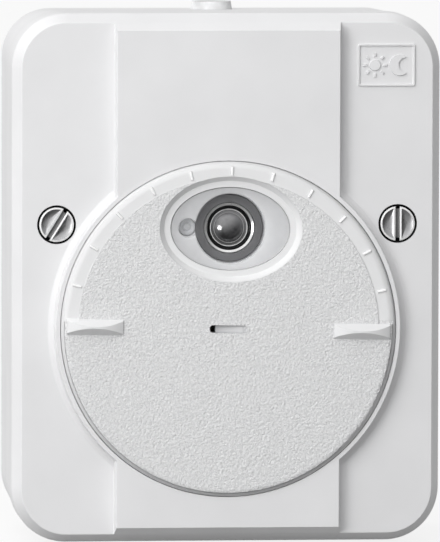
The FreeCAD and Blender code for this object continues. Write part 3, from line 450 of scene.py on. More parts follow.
def dress(finish, *nodes):
    """Gives CAD nodes one finish on all their faces."""
    for node in nodes:
        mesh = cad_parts[node].data
        mesh.materials.clear()
        mesh.materials.append(finish.material)


# Finishes


def moulded(name, shade, grain, depth, roughness, edge=0.0, mottle=0.02):
    """Moulded plastic: fine spark-eroded grain, a little unevenness in tone and gloss, soft edges."""
    finish = Finish(name, roughness, shade)
    fine = finish.noise(grain, detail=2.0, roughness=0.55)
    broad = finish.noise(grain * 22, detail=2.0)
    finish.mottle(broad, shade, 1 - mottle, 1 + mottle)
    finish.feed(finish.span(fine, 0.25, 0.75, roughness - 0.05, roughness + 0.07), "Roughness")
    normal = finish.soft_edges(edge) if edge else None
    finish.feed(finish.bump(fine, depth, normal), "Normal")
    return finish


def leather_grained(name, settings):
    """Dial plastic: folds like leather on the flat face, smooth on the scale ring, the marks and the slopes; the
    marks are lightened as a painted highlight and the middle slot is darkened as painted shade.
    """
    finish = Finish(name, settings.gloss, settings.shade)
    across, depth, height = finish.split(finish.place.outputs["Object"])
    facing = finish.split(finish.place.outputs["Normal"])
    up = finish.maths("SUBTRACT", height, DIAL_Z * MM)
    radius = finish.away(across, up)

    in_ring = finish.over(radius, settings.scale_inner)
    recessed = finish.over(depth, -(DIAL_FACE - RECESS_TOP) * MM)
    smooth = finish.maths("MAXIMUM", finish.times(in_ring, finish.over(up, RING_END * MM)), recessed)
    raised = finish.under(depth, -(DIAL_FACE + MARK_FOOT) * MM)
    low = finish.over(depth, -(DIAL_FACE + MARK_TOP) * MM)
    marks = finish.times(finish.times(raised, low), finish.times(in_ring, finish.over(up, MARKS_END * MM)))
    # Painted shade in the middle slot's hollow, thickest along its top and bottom walls.
    in_slot = finish.times(finish.over(depth, -(DIAL_FACE - SLOT_TOP) * MM),
                           finish.under(radius, settings.slot_reach))
    corner = finish.over(finish.maths("ABSOLUTE", up), settings.slot_corner)
    painted_shade = finish.times(in_slot, finish.maths("ADD", corner, 1.0))
    flat = finish.span(finish.times(facing[1], -1.0), 0.93, 0.99)
    grained = finish.times(flat, finish.maths("SUBTRACT", 1.0, finish.maths("MAXIMUM", smooth, raised)))

    folds = finish.noise(settings.grain, roughness=0.6, distortion=0.6)
    tone = finish.times(finish.maths("SUBTRACT", folds, 0.5), finish.times(grained, 0.8))
    tone = finish.maths("ADD", tone, finish.times(smooth, settings.ring_share - 1.0))
    # Painted highlight on the raised scale marks.
    tone = finish.maths("MULTIPLY_ADD", marks, settings.mark_painted_highlight_share - 1.0, tone)
    tone = finish.maths("MULTIPLY_ADD", painted_shade, settings.slot_painted_shade_share - 1.0, tone)
    finish.mottle(tone, settings.shade, 0.7, 1.3, -0.3, 0.3)

    coarse = settings.grain * 1.3
    creases = finish.noise(coarse, detail=2.0, roughness=0.6, distortion=0.8)
    relief = finish.times(finish.maths("ADD", creases, finish.times(finish.cells(coarse), 0.45)), grained)
    out = finish.span(radius, settings.rim_from, DIAL_RADIUS * MM)
    fall = finish.times(finish.times(out, out), -1.0)
    rim = finish.bump(fall, settings.rim_fall, finish.soft_edges(settings.edge))
    finish.feed(finish.bump(relief, settings.grain_depth, rim), "Normal")
    return finish


def rubber(name, shade, roughness=0.7, shine=0.5):
    """Rubber: dull, with a dusty bloom and a fine stipple."""
    finish = Finish(name, roughness, shade)
    finish.set(Specular_IOR_Level=shine)
    bloom = finish.noise(0.004, detail=4.0)
    stipple = finish.noise(0.0002, detail=2.0)
    finish.mottle(bloom, shade, 0.85, 1.25, 0.35)
    finish.feed(finish.span(bloom, 0.3, 0.7, roughness - 0.06, roughness + 0.08), "Roughness")
    finish.feed(finish.bump(stipple, 0.00001, finish.soft_edges(0.0002)), "Normal")
    return finish


def plated(name, shade, roughness=0.22, scratch=0.00012, metallic=1.0):
    """Plated metal: streaked along one way, with faint tarnish; below 1, metallic makes it a pale satin."""
    finish = Finish(name, roughness, shade)
    finish.set(Metallic=metallic)
    streaks = finish.streaks(scratch, 0.08)
    finish.mottle(finish.noise(0.003), shade, 0.88, 1.04)
    finish.feed(finish.span(streaks, 0.3, 0.7, roughness - 0.05, roughness + 0.08), "Roughness")
    finish.feed(finish.bump(streaks, 0.000004, finish.soft_edges(0.00008)), "Normal")
    return finish


def turned_steel(name, settings):
    """Screw heads: plated steel with fine wear marks that run one way."""
    finish = Finish(name, 0.25, settings.steel)
    finish.set(Metallic=1.0)
    marks = finish.streaks(settings.turning, 0.12, math.radians(-35.0))
    finish.mottle(finish.noise(0.0011), settings.steel, 0.9, 1.06)
    finish.feed(finish.span(marks, 0.3, 0.7, 0.26, 0.38), "Roughness")
    finish.feed(finish.bump(marks, 0.000003), "Normal")
    return finish


def smoky_glass(name, settings, centre):
    """Photocell's lens: smoky inside and cloudy, lighter towards its top as a painted reflection, under a hard
    clear gloss.
    """
    finish = Finish(name, 0.3, settings.lens_shade)
    _, _, height = finish.split(finish.place.outputs["Object"])
    cloud = finish.noise(0.0016, detail=4.0, distortion=1.2)
    # Painted reflection: lighter towards the lens's top, mixed with a random cloudy tone.
    upper = finish.span(height, centre - 2.2 * MM, centre + 2.6 * MM)
    cloud_and_painted_reflection = finish.maths("MULTIPLY_ADD", cloud, 0.7, finish.maths("SUBTRACT", upper, 0.35))
    finish.shade_by(finish.span(cloud_and_painted_reflection, 0.1, 0.9), toned(settings.lens_shade, 0.08), settings.lens_shade)
    finish.set(Coat_Weight=1.0, Coat_Roughness=0.02, Coat_IOR=settings.lens_gloss)
    finish.feed(finish.bump(cloud, 0.000003), "Normal")
    return finish


def laminate(name, shade, weave=0.0006):
    """Circuit board: lacquer over a faint cloth weave, cloudy in tone."""
    finish = Finish(name, 0.35, shade)
    across, _, height = finish.split(finish.place.outputs["Object"])
    warp = finish.maths("SINE", finish.times(across, 2 * math.pi / weave))
    weft = finish.maths("SINE", finish.times(height, 2 * math.pi / weave))
    finish.mottle(finish.noise(0.006), shade, 0.8, 1.2)
    finish.set(Coat_Weight=0.4, Coat_Roughness=0.15)
    finish.feed(finish.bump(finish.times(warp, weft), 0.000006), "Normal")
    return finish


def dipped(name, shade, roughness=0.25):
    """Dipped or lacquered coating: uneven thickness, small runs, a clear coat."""
    finish = Finish(name, roughness, shade)
    runs = finish.noise(0.0016, detail=2.0)
    finish.mottle(runs, shade, 0.82, 1.15)
    finish.set(Coat_Weight=0.5, Coat_Roughness=0.08)
    finish.feed(finish.bump(runs, 0.00006, finish.soft_edges(0.0004)), "Normal")
    return finish


def clear(name, settings, rounds):
    """Window: satin and pale, but polished clear over some rounds, each a centre and a radius, in metres."""
    finish = Finish(name, settings.satin_gloss, settings.satin_shade)
    across, _, height = finish.split(finish.place.outputs["Object"])
    flow = finish.noise(0.003, detail=2.0, distortion=1.5)
    satin = finish.span(flow, 0.3, 0.7, settings.satin * 0.97, settings.satin * 1.03)
    for x, z, radius in rounds:
        away = finish.away(finish.maths("SUBTRACT", across, x), finish.maths("SUBTRACT", height, z))
        satin = finish.times(satin, finish.span(away, radius, radius + settings.blend))
    finish.feed(finish.maths("ADD", satin, settings.film), "Alpha")
    finish.feed(finish.bump(flow, 0.000004), "Normal")
    return finish


# Mesh helpers


def circle_point(radius, degrees):
    """Point of a circle about nothing."""
    return radius * math.cos(math.radians(degrees)), radius * math.sin(math.radians(degrees))


def rounded_outline(width, height, corner, x, z, steps=5):
    """Points round a rectangle with rounded corners."""
    points = []
    for quarter, (side_x, side_z) in enumerate(((1, 1), (-1, 1), (-1, -1), (1, -1))):
        for step in range(steps + 1):
            angle = math.radians(90 * (quarter + step / steps))
            points.append((x + side_x * (width / 2 - corner) + corner * math.cos(angle),
                           z + side_z * (height / 2 - corner) + corner * math.sin(angle)))
    return points


def softened(corners, steps=6):
    """Profile with rounded corners; a corner is a radius, a depth and how far its rounding reaches."""
    points = []
    for index, (*corner, reach) in enumerate(corners):
        corner = Vector(corner)
        if not reach:
            points.append(corner)
            continue
        start = corner + (Vector(corners[index - 1][:2]) - corner).normalized() * reach
        end = corner + (Vector(corners[(index + 1) % len(corners)][:2]) - corner).normalized() * reach
        for step in range(steps + 1):
            share_done = step / steps
            points.append(start.lerp(corner, share_done).lerp(corner.lerp(end, share_done), share_done))
    return points


def dome(reach, rise, foot, steps=14):
    """Profile points over a dome, from its middle to its edge."""
    curve = (reach ** 2 + rise ** 2) / (2 * rise)
    widest = math.asin(reach / curve)
    turns = [widest * step / steps for step in range(steps + 1)]
    return [Vector((curve * math.sin(turn), foot + rise - curve * (1 - math.cos(turn)))) for turn in turns]


def join_rings(mesh, first, second):
    """Faces between two rings of points; a ring of one point is the tip of a fan."""
    count = max(len(first), len(second))
    for index in range(count):
        corners = []
        for ring, place in ((first, index), (first, index + 1), (second, index + 1), (second, index)):
            corner = ring[place % len(ring)]
            if corner not in corners:
                corners.append(corner)
        if len(corners) > 2:
            mesh.faces.new(corners)


def lathe(mesh, profile, x, z, steps=96):
    """Closed form turned about an axis through (x, z); a profile point is a radius and a depth, in millimetres."""
    rings = []
    for radius, depth in profile:
        turns = [2 * math.pi * step / steps for step in range(steps if radius > 0 else 1)]
        rings.append([mesh.verts.new((x + radius * MM * math.cos(turn), -depth * MM,
                                      z + radius * MM * math.sin(turn))) for turn in turns])
    for first, second in zip(rings, rings[1:] + rings[:1]):
        join_rings(mesh, first, second)


def half_moon(radius, edge, inset, steps=24):
    """Outline between a straight edge beside the slot and the head's round, all of it moved in by an inset."""
    reach = radius - inset
    side = edge + inset
    end = math.sqrt(reach ** 2 - side ** 2)
    sweep = math.atan2(end, side)
    straight = [Vector((side, end * (2 * step / steps - 1))) for step in range(steps)]
    turns = [sweep * (1 - 2 * step / (2 * steps)) for step in range(2 * steps)]
    return straight + [Vector((reach * math.cos(turn), reach * math.sin(turn))) for turn in turns]


def finished_object(mesh, name, finish, body, slot, *nodes):
    """Object from a built mesh that rides on a body and stands for some nodes; the slot argument is not used."""
    bmesh.ops.recalc_face_normals(mesh, faces=mesh.faces)
    data = bpy.data.meshes.new(name)
    mesh.to_mesh(data)
    mesh.free()
    data.shade_smooth()
    data.set_sharp_from_angle(angle=math.radians(28.0))
    made = bpy.data.objects.new(name, data)
    bpy.context.scene.collection.objects.link(made)
    made.data.materials.append(finish.material)
    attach(made, body)
    if nodes:
        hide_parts(*nodes)


# Badge


def ridge(mesh, outline, half, rise, base):
    """Closed raised line along an outline of (x, z) points: a low trapezium of a given half width and rise."""
    loops = []
    for offset, height in ((-half, 0.0), (-half * 0.45, rise), (half * 0.45, rise), (half, 0.0)):
        loop = []
        for index, (x, z) in enumerate(outline):
            before, after = outline[index - 1], outline[(index + 1) % len(outline)]
            along = Vector((after[0] - before[0], after[1] - before[1])).normalized()
            loop.append(mesh.verts.new((x + along.y * offset, base - height, z - along.x * offset)))
        loops.append(loop)
    for first, second in zip(loops, loops[1:]):
        join_rings(mesh, first, second)


def mound(mesh, outline, inset, rise, base):
    """Raised field inside an outline: a sloping edge and a flat top."""
    centre = Vector((sum(x for x, z in outline), sum(z for x, z in outline))) / len(outline)
    low = [mesh.verts.new((x, base, z)) for x, z in outline]
    high = []
    for x, z in outline:
        inward = (centre - Vector((x, z))).normalized() * inset
        high.append(mesh.verts.new((x + inward.x, base - rise, z + inward.y)))
    join_rings(mesh, low, high)
    mesh.faces.new(high)


def badge_frame(mesh, badge, base):
    """Raised frame round the badge."""
    outline = rounded_outline(badge.width - badge.line, badge.height - badge.line, FRAME_CORNER * MM,
                              badge.centre_x, badge.centre_z)
    ridge(mesh, outline, badge.line / 2, badge.rise, base)


def badge_sun(mesh, badge, base):
    """Sun in the left half of the badge: a round field with eight rays."""
    centre = Vector((badge.centre_x - badge.width * SUN_SHIFT, badge.centre_z))
    radius = badge.height * SUN_RADIUS
    disc = [tuple(centre + Vector(circle_point(radius, turn))) for turn in range(0, 360, 15)]
    mound(mesh, disc, badge.line * 0.3, badge.rise, base)
    for turn in range(0, 360, 45):
        along = Vector(circle_point(1.0, turn))
        side = Vector((-along.y, along.x)) * badge.line * RAY_HALF
        start, end = (centre + along * radius * reach for reach in RAY_REACH)
        ray = [tuple(point) for point in (start - side, end - side, end + side, start + side)]
        mound(mesh, ray, badge.line * 0.25, badge.rise, base)


def badge_moon(mesh, badge, base):
    """Crescent in the right half of the badge, open to the right."""
    centre = Vector((badge.centre_x + badge.width * MOON_SHIFT, badge.centre_z))
    radius = badge.height * MOON_RADIUS
    moon = [tuple(centre + Vector(circle_point(radius, turn))) for turn in range(50, 311, 13)]
    tip = Vector(moon[0])
    hollow = centre + Vector((radius * HOLLOW_SHIFT, 0.0))
    hollow_radius = (tip - hollow).length
    swing = math.degrees(math.atan2(tip.y - hollow.y, tip.x - hollow.x))
    for step in range(1, 14):
        turn = -swing + (2 * swing - 360) * step / 14
        moon.append(tuple(hollow + Vector(circle_point(hollow_radius, turn))))
    mound(mesh, moon, badge.line * 0.2, badge.rise, base)


class SWITCH_OT_badge(bpy.types.Operator):
    """Embosses a plain frame with a sun and a crescent on the cover's right shoulder"""

    bl_idname = "switch.badge"
    bl_label = "Badge"

    def execute(self, context):
        look = context.scene.switch_housing
        mesh = bmesh.new()
        for form in (badge_frame, badge_sun, badge_moon):
            form(mesh, context.scene.switch_badge, -(LOW_FACE - BADGE_SEAT) * MM)
        finish = moulded("Badge plastic", look.shade, look.grain, look.grain_depth, look.gloss)
        finished_object(mesh, "badge", finish, "housing", "housing")
        return {"FINISHED"}


# Cover screws


def turned(mesh, outline, depth, x, z, turn):
    """Ring of points: an outline turned about a screw's axis, at a depth, in millimetres."""
    along = Vector((math.cos(turn), math.sin(turn)))
    across = Vector((-along.y, along.x))
    places = [along * point.x + across * point.y for point in outline]
    return [mesh.verts.new((x + place.x * MM, -depth * MM, z + place.y * MM)) for place in places]


def screw_half(block, face, rim, settings, x, z, turn, front):
    """One half of a slotted head: its block, whose darkened steel is painted shade in the slot, its dished face and
    the bevelled rim round the face.
    """
    edge = settings.slot / 2 / MM
    head = settings.head / MM
    dish = settings.dish / MM
    middle = Vector(((head + edge) / 2, 0.0))
    low = front - settings.slot_depth / MM - FLOOR_SEAT
    bevel = front - settings.rim_drop / MM
    top = bevel - BLOCK_DROP
    outer, inner = half_moon(head, edge, 0.0), half_moon(head, edge, settings.rim / MM)
    plate = half_moon(head, edge, settings.rim / MM + PLATE_INSET)
    faces = [([middle], top - PLATE_DEPTH), (plate, top - PLATE_DEPTH), (plate, front)]
    for reach in DISH_STEPS:
        faces.append(([middle + (point - middle) * reach for point in plate], front - dish * (1 - reach ** 2)))
    faces.append(([middle], front - dish))
    blocks = [([middle], low), (outer, low), (outer, top), ([middle], top)]
    rims = [(outer, top), (outer, bevel), (inner, front), (inner, top), (outer, top)]
    for mesh, levels in ((block, blocks), (face, faces), (rim, rims)):
        rings = [turned(mesh, outline, depth, x, z, turn) for outline, depth in levels]
        for first, second in zip(rings, rings[1:]):
            join_rings(mesh, first, second)


def slot_floor(mesh, settings, x, z, turn, floor, steps=8):
    """Hollow floor of a slot: a bar along it whose top sags to its middle."""
    edge = settings.slot / 2 / MM
    end = (settings.head - settings.slot_end) / MM
    rings = []
    for side in (-end, end):
        outline = [(Vector((edge, side)), floor - FLOOR_BAR), (Vector((-edge, side)), floor - FLOOR_BAR)]
        for step in range(steps + 1):
            across = 2 * step / steps - 1
            outline.append((Vector((edge * across, side)), floor + FLOOR_SEAT + settings.sag / MM * across ** 2))
        rings.append([turned(mesh, [point], depth, x, z, turn)[0] for point, depth in outline])
    join_rings(mesh, *rings)
    for ring in rings:
        mesh.faces.new(ring)


def cover_screws(settings, dark, steel, bright):
    """Both cover screws, where the frame has them: their bodies, darkened as painted shade in the slots, the faces
    of their heads and the rims, pale as a painted highlight.
    """
    low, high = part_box("cover_screws")
    front, tip = -low.y / MM, -high.y / MM
    z = (low.z + high.z) / 2
    floor = front - settings.slot_depth / MM
    back = front - settings.head_height / MM
    head, shank = settings.head / MM, settings.shank / MM
    end = head - settings.slot_end / MM
    body = softened([(0, tip, 0), (shank, tip, 0.4), (shank, back, 0), (head, back, 0.1), (head, floor - 0.5, 0),
                     (end, floor, 0), (0, floor, 0)])
    bodies, faces, rims = bmesh.new(), bmesh.new(), bmesh.new()
    for x, lean in zip((low.x + HEAD_RADIUS * MM, high.x - HEAD_RADIUS * MM), SLOT_LEANS):
        lathe(bodies, body, x, z)
        slot_floor(bodies, settings, x, z, math.radians(-lean), floor)
        for side in (0.0, 180.0):
            screw_half(bodies, faces, rims, settings, x, z, math.radians(side - lean), front)
    # The bodies' darkened steel is painted shade in the slots.
    finished_object(bodies, "slotted_screws", dark, "housing", "bright_steel", "cover_screws")
    finished_object(faces, "screw_faces", steel, "housing", "bright_steel")
    # The rims' pale satin is a painted highlight on the bevels.
    finished_object(rims, "screw_rims", bright, "housing", "bright_steel")


# Photocell and indicator lamp


def round_place(node):
    """Axis of a round CAD node, in metres, and its back, front and radius in millimetres."""
    low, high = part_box(node)
    return ((low.x + high.x) / 2, (low.z + high.z) / 2, -high.y / MM, -low.y / MM, (high.x - low.x) / 2 / MM)


def turned_piece(profile, x, z):
    """Mesh of a piece turned about an axis through (x, z)."""
    mesh = bmesh.new()
    lathe(mesh, profile, x, z)
    return mesh


def eye_can(look):
    """Photocell's can with the slope at its mouth."""
    x, z, back, front, radius = round_place("photocell_can")
    mouth, wall = radius - MOUTH_WIDTH, radius - CAN_WALL
    foot, base = front - MOUTH_FOOT, back + CAN_BASE
    can = turned_piece(softened([
        (0, back, 0), (radius, back, 0.1), (radius, front, 0.05), (radius - 0.06, front, 0.03),
        (mouth, front - MOUTH_DROP, 0.02), (mouth, foot, 0), (wall, foot, 0), (wall, base, 0), (0, base, 0)]), x, z)
    plating = plated("Can plating", look.can_shade, 0.15, metallic=0.6)
    finished_object(can, "eye_can", plating, "dial_assembly", "can_metal", "photocell_can")


def eye_trims(look):
    """Two thin trim rings in the eye, the inner one darker."""
    x, z, _, front, _ = round_place("photocell_can")
    top = front - TRIM_TOP
    foot = top - TRIM_HEIGHT
    for name, (inner, outer), shade in (("eye_trim_outer", OUTER_TRIM, look.can_shade),
                                        ("eye_trim_inner", INNER_TRIM, toned(look.can_shade, 0.45))):
        trim = turned_piece(softened([(inner, foot, 0), (outer, foot, 0), (outer, top, 0.05), (inner, top, 0.05)]),
                            x, z)
        finished_object(trim, name, plated("Trim ring", shade, 0.4, metallic=0.35), "dial_assembly", "can_metal")


def eye_barrel():
    """Black ring between the can and the lens, with a low crest round it; its near-black is a painted reflection of
    dark surroundings in a polished funnel.
    """
    x, z, back, front, radius = round_place("photocell_can")
    side, foot = radius - CAN_WALL - BARREL_CLEARANCE, back + BARREL_FOOT
    low, high = BARREL_SLOPE
    crest = [(reach, front - drop, 0.15) for reach, drop in BARREL_CREST]
    barrel = turned_piece(softened([
        (BARREL_BORE, foot, 0), (side, foot, 0), (side, front - low, 0.05),
        (radius - MOUTH_WIDTH - BARREL_CLEARANCE, front - high, 0.05), *crest,
        (BARREL_BORE, front - LENS_TOP, 0.05)]), x, z)
    # Painted reflection: near-black with a weak gloss, for the dark that a polished funnel mirrors.
    painted_dark_reflection = moulded("Barrel painted dark reflection", (0.003, 0.003, 0.0035), 0.0005, 0.000002, 0.1, 0.0, 0.2)
    painted_dark_reflection.set(IOR=1.25)
    finished_object(barrel, "eye_barrel", painted_dark_reflection, "dial_assembly", "barrel_plastic", "photocell_barrel")


def eye_lens(look):
    """Domed lens with a ledge round it."""
    x, z, _, front, _ = round_place("photocell_can")
    top = front - LENS_TOP
    ledge, ring, side = LENS_LEDGE
    lens = turned_piece([*dome(LENS_REACH, LENS_RISE, top), *softened([
        (ledge, top, 0), (ledge, top - LENS_STEP, 0), (ring, top - LENS_STEP, 0), (side, top - 0.02, 0),
        (side, top - LENS_HEIGHT, 0), (0, top - LENS_HEIGHT, 0)])], x, z)
    finished_object(lens, "eye_lens", smoky_glass("Lens glass", look, z), "dial_assembly", "lens_glass",
                    "photocell_lens")


def indicator(look):
    """Indicator lamp: a pale pellet with a raised rim and a ring groove round its middle."""
    x, z, back, front, radius = round_place("indicator_led")
    width, drop = LAMP_SHOULDER
    floor = front - GROOVE_DEPTH
    lamp = turned_piece(softened([
        (0, back, 0), (radius, back, 0), (radius, front - drop, 0.06), (radius - width, front, 0.08),
        (GROOVE_OUTER[0], front, 0.05), (GROOVE_OUTER[1], floor, 0.04), (GROOVE_INNER[0], floor, 0.04),
        (GROOVE_INNER[1], front, 0.05), (0, front, 0)]), x, z)
    finish = moulded("Lamp resin", look.lamp_shade, 0.0006, 0.000002, 0.15, 0.0, 0.03)
    finish.set(Coat_Weight=0.5, Coat_Roughness=0.05)
    finished_object(lamp, "indicator", finish, "dial_assembly", "lamp_resin", "indicator_led")


# Finishes of the pieces


class SWITCH_OT_housing(bpy.types.Operator):
    """Finishes the wall box and the front cover in fine-grained white plastic"""

    bl_idname = "switch.housing"
    bl_label = "Housing"

    def execute(self, context):
        look = context.scene.switch_housing
        finish = moulded("Housing plastic", look.shade, look.grain, look.grain_depth, look.gloss, look.edge)
        dress(finish, "base_box", "cover")
        return {"FINISHED"}


class SWITCH_OT_rubber(bpy.types.Operator):
    """Finishes the seals and the cable entries"""

    bl_idname = "switch.rubber"
    bl_label = "Seals and cable entries"

    def execute(self, context):
        dress(rubber("Seal rubber", (0.005, 0.005, 0.0055), shine=0.12),
              "cover_gasket", "screw_seal_rings", "hub_seal_ring")
        dress(rubber("Entry rubber", (0.74, 0.745, 0.75), 0.6), "cable_grommet_top", "cable_grommet_bottom")
        dress(rubber("Lead rubber", (0.16, 0.16, 0.165)), "sensor_lead")
        return {"FINISHED"}


class SWITCH_OT_dial(bpy.types.Operator):
    """Finishes the dial in leather-grained plastic with a smooth scale ring"""

    bl_idname = "switch.dial"
    bl_label = "Dial"

    def execute(self, context):
        dress(leather_grained("Dial plastic", context.scene.switch_dial), "dial")
        return {"FINISHED"}


class SWITCH_OT_metal(bpy.types.Operator):
    """Builds the slotted cover screws and finishes the spring ring, the terminal cages and the pins"""

    bl_idname = "switch.metal"
    bl_label = "Metal pieces"

    def execute(self, context):
        look = context.scene.switch_metal
        # Slot steel is darkened as painted shade in the slots.
        cover_screws(look, plated("Slot steel", toned(look.steel, 0.42), 0.3), turned_steel("Turned steel", look),
                     # Pale, barely metallic rim: painted highlight on the bevels.
                     plated("Rim painted highlight", look.rim_highlight_shade, 0.4, metallic=0.15))
        dress(plated("Plated steel", look.steel),
              "power_board_screws", "control_board_screws", "terminal_screws", "photocell_leads")
        dress(plated("Spring steel", toned(look.steel, 0.45), 0.3), "dial_retaining_ring")
        dress(plated("Brass", look.brass, 0.25), "terminal_cages", "link_pins")
        return {"FINISHED"}


class SWITCH_OT_sensor(bpy.types.Operator):
    """Builds the photocell's eye and the indicator lamp, and finishes the window, the tray and the ring"""

    bl_idname = "switch.sensor"
    bl_label = "Window and photocell"

    def execute(self, context):
        look = context.scene.switch_sensor
        rounds = [(*round_place("photocell_can")[:2], look.eye_round),
                  (*round_place("indicator_led")[:2], look.lamp_round)]
        dress(clear("Window", look, rounds), "dial_window")
        dress(moulded("Tray plastic", look.tray_shade, 0.0006, 0.000012, 0.4, 0.00015), "sensor_plate")
        dress(moulded("Ring plastic", look.mask_shade, 0.0003, 0.000014, 0.5, 0.00008, 0.08), "sensor_mask")
        dress(plated("Chip silicon", (0.10, 0.09, 0.13), 0.15, 0.0002), "photocell_chip")
        eye_trims(look)
        eye_can(look)
        eye_barrel()
        eye_lens(look)
        indicator(look)
        return {"FINISHED"}


class SWITCH_OT_boards(bpy.types.Operator):
    """Finishes the circuit boards and the parts that stand on them"""

    bl_idname = "switch.boards"
    bl_label = "Boards and components"

    def execute(self, context):
        dress(laminate("Green board", (0.03, 0.16, 0.06)), "control_board", "sensor_board")
        dress(laminate("Brown board", (0.28, 0.15, 0.05), 0.0009), "power_board")
        for node, name, shade, *surface in (
            ("terminal_block", "Terminal plastic", (0.5, 0.51, 0.52), 0.0006, 0.000014, 0.35, 0.0002),
            ("relay", "Relay case", (0.03, 0.09, 0.32), 0.0005, 0.00001, 0.3, 0.0003, 0.08),
            ("film_capacitor", "Capacitor case", (0.62, 0.40, 0.03), 0.0005, 0.00001, 0.3, 0.0003, 0.06),
            ("fuse", "Fuse case", (0.09, 0.05, 0.03), 0.0005, 0.00001, 0.4, 0.0002, 0.1),
            ("potentiometer_body", "Potentiometer case", (0.05, 0.07, 0.09), 0.0004, 0.00001, 0.4, 0.0002),
            ("potentiometer_rotor", "Rotor plastic", (0.72, 0.70, 0.62), 0.0004, 0.00001, 0.4, 0.0001),
        ):
            dress(moulded(name, shade, *surface), node)
        dress(dipped("Capacitor sleeve", (0.02, 0.025, 0.06)), "electrolytic_capacitor")
        dress(dipped("Varistor coating", (0.03, 0.10, 0.34)), "varistor")
        dress(dipped("Resistor coating", (0.42, 0.28, 0.13), 0.35), "resistors")
        dress(moulded("Black moulding", (0.02, 0.02, 0.021), 0.0003, 0.00001, 0.45, 0.0001, 0.15),
              "bridge_rectifier", "comparator_chip", "relay_driver", "link_header", "link_socket")
        return {"FINISHED"}


# Stage


def make_floor(look):
    """Wide floor just under the switch: white to the eye, softly shaded, grey for the light that it returns."""
    low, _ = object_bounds()
    mesh = bmesh.new()
    bmesh.ops.create_grid(mesh, x_segments=2, y_segments=2, size=STUDIO_REACH)
    data = bpy.data.meshes.new("floor")
    mesh.to_mesh(data)
    mesh.free()
    floor = bpy.data.objects.new("floor", data)
    floor.location = (0.0, 0.0, low.z - 0.1 * MM)
    floor.visible_glossy = False
    bpy.context.scene.collection.objects.link(floor)
    finish = Finish("Floor", 0.9)
    finish.tree.nodes.remove(finish.shader)
    seen = finish.node("ShaderNodeEmission", Strength=1.0)
    shaded = finish.node("ShaderNodeBsdfDiffuse", Color=(0.9, 0.9, 0.9, 1.0))
    returned = finish.node("ShaderNodeBsdfDiffuse", Color=(*(look.floor_bounce,) * 3, 1.0))
    sight = finish.node("ShaderNodeMixShader", Fac=0.16)
    finish.join(seen, 0, sight, 1)
    finish.join(shaded, 0, sight, 2)
    whole = finish.node("ShaderNodeMixShader")
    finish.link(seen_directly(finish), whole, "Fac")
    finish.join(returned, 0, whole, 1)
    finish.join(sight, 0, whole, 2)
    finish.join(whole, 0, finish.output, "Surface")
    data.materials.append(finish.material)
    floor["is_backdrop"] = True


def seen_directly(finish):
    """One for what the camera, a reflection or a view through glass meets."""
    path = finish.node("ShaderNodeLightPath")
    seen = finish.maths("MAXIMUM", path.outputs["Is Camera Ray"], path.outputs["Is Transmission Ray"])
    return finish.maths("MAXIMUM", seen, path.outputs["Is Glossy Ray"])


def make_world(look):
    """White surround for the eye; for matt surfaces a glow from the upper left, for glossy ones a soft room."""
    finish = Surround()
    facing = finish.maths("MAXIMUM", finish.along(GLOW_FROM), 0.0)
    glow = finish.maths("MULTIPLY_ADD", facing, look.glow, look.surround)
    room = finish.span(finish.along(MIRRORED_ROOM_FROM), 0.15, 0.75, 0.03, 1.05)
    behind = finish.span(finish.along((0.0, 1.0, 0.0)), -0.45, 0.0)
    mirrored = finish.maths("MAXIMUM", room, behind)
    path = finish.node("ShaderNodeLightPath")
    sight = finish.maths("MAXIMUM", path.outputs["Is Camera Ray"], path.outputs["Is Transmission Ray"])
    gloss = finish.times(path.outputs["Is Glossy Ray"], mirrored)
    matt = finish.times(finish.maths("SUBTRACT", 1.0, path.outputs["Is Glossy Ray"]), glow)
    lit = finish.maths("ADD", gloss, matt)
    shown = finish.times(sight, finish.maths("SUBTRACT", 1.0, lit))
    finish.link(finish.maths("ADD", lit, shown), finish.light, "Strength")


def make_lamp(name, place, aim, size, power, mirrored):
    """Round soft lamp that faces a point, and that glossy surfaces mirror or not."""
    data = bpy.data.lights.new(name, "AREA")
    data.shape = "DISK"
    data.size = size
    data.energy = power
    lamp = bpy.data.objects.new(name, data)
    lamp.location = place
    lamp.rotation_mode = "QUATERNION"
    lamp.rotation_quaternion = (Vector(aim) - Vector(place)).to_track_quat("-Z", "Y")
    lamp.visible_glossy = mirrored
    bpy.context.scene.collection.objects.link(lamp)


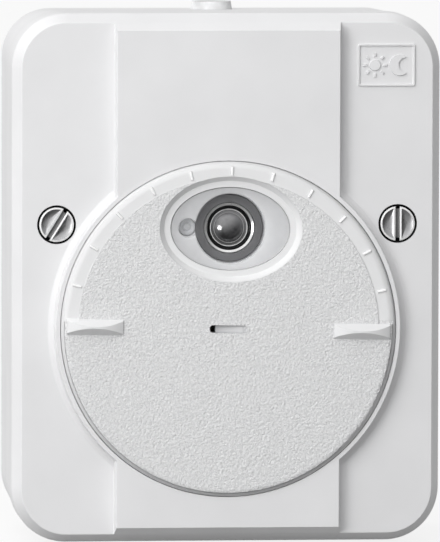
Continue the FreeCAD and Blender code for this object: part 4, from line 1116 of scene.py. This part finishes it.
def make_camera(look):
    """Long lens a little to the left of the switch and above it."""
    data = bpy.data.cameras.new("camera")
    data.lens = look.lens
    data.sensor_width = 36.0
    data.clip_start = 0.01
    data.clip_end = 100.0
    camera = bpy.data.objects.new("camera", data)
    flat = math.cos(look.elevation)
    toward = Vector((math.sin(look.azimuth) * flat, -math.cos(look.azimuth) * flat, math.sin(look.elevation)))
    camera.location = Vector((look.aim_x, -LOW_FACE * MM, look.aim_z)) + toward * look.distance
    camera.rotation_mode = "QUATERNION"
    camera.rotation_quaternion = (-toward).to_track_quat("-Z", "Y") @ Quaternion((0, 0, 1), look.roll)
    bpy.context.scene.collection.objects.link(camera)
    bpy.context.scene.camera = camera


class SWITCH_OT_stage(bpy.types.Operator):
    """Sets up the floor, the surround, the lamps and the camera"""

    bl_idname = "switch.stage"
    bl_label = "Stage"

    def execute(self, context):
        look = context.scene.switch_stage
        context.scene.view_settings.view_transform = "Standard"
        make_floor(look)
        make_world(look)
        make_lamp("key", KEY_PLACE, KEY_AIM, KEY_SIZE, look.key_power, False)
        make_lamp("catch", CATCH_PLACE, CATCH_AIM, CATCH_SIZE, look.catch_power, True)
        make_camera(look)
        return {"FINISHED"}


OPERATORS = (SWITCH_OT_housing, SWITCH_OT_rubber, SWITCH_OT_dial, SWITCH_OT_metal, SWITCH_OT_sensor,
             SWITCH_OT_boards, SWITCH_OT_badge, SWITCH_OT_stage)

SETTINGS = {
    "switch_housing": HousingSettings,
    "switch_dial": DialSettings,
    "switch_badge": BadgeSettings,
    "switch_sensor": SensorSettings,
    "switch_metal": MetalSettings,
    "switch_stage": StageSettings,
}


class SWITCH_PT_panel(bpy.types.Panel):
    """Lists the switch's pieces and their settings"""

    bl_idname = "SWITCH_PT_panel"
    bl_label = "Twilight switch"
    bl_space_type = "VIEW_3D"
    bl_region_type = "UI"
    bl_category = "Switch"

    def draw(self, context):
        for operator in OPERATORS:
            self.layout.operator(operator.bl_idname)
        for name, group in SETTINGS.items():
            box = self.layout.box()
            box.label(text=group.__doc__)
            for value in group.__annotations__:
                box.prop(getattr(context.scene, name), value)


CLASSES = (*SETTINGS.values(), *OPERATORS, SWITCH_PT_panel)


def register():
    """Adds the settings, the operators and the panel."""
    for item in CLASSES:
        bpy.utils.register_class(item)
    for name, group in SETTINGS.items():
        setattr(bpy.types.Scene, name, PointerProperty(type=group))


def unregister():
    """Takes them away again."""
    for name in SETTINGS:
        delattr(bpy.types.Scene, name)
    for item in reversed(CLASSES):
        bpy.utils.unregister_class(item)


def main():
    register()
    for operator in OPERATORS:
        group, name = operator.bl_idname.split(".")
        getattr(getattr(bpy.ops, group), name)()


if __name__ == "__main__":
    main()
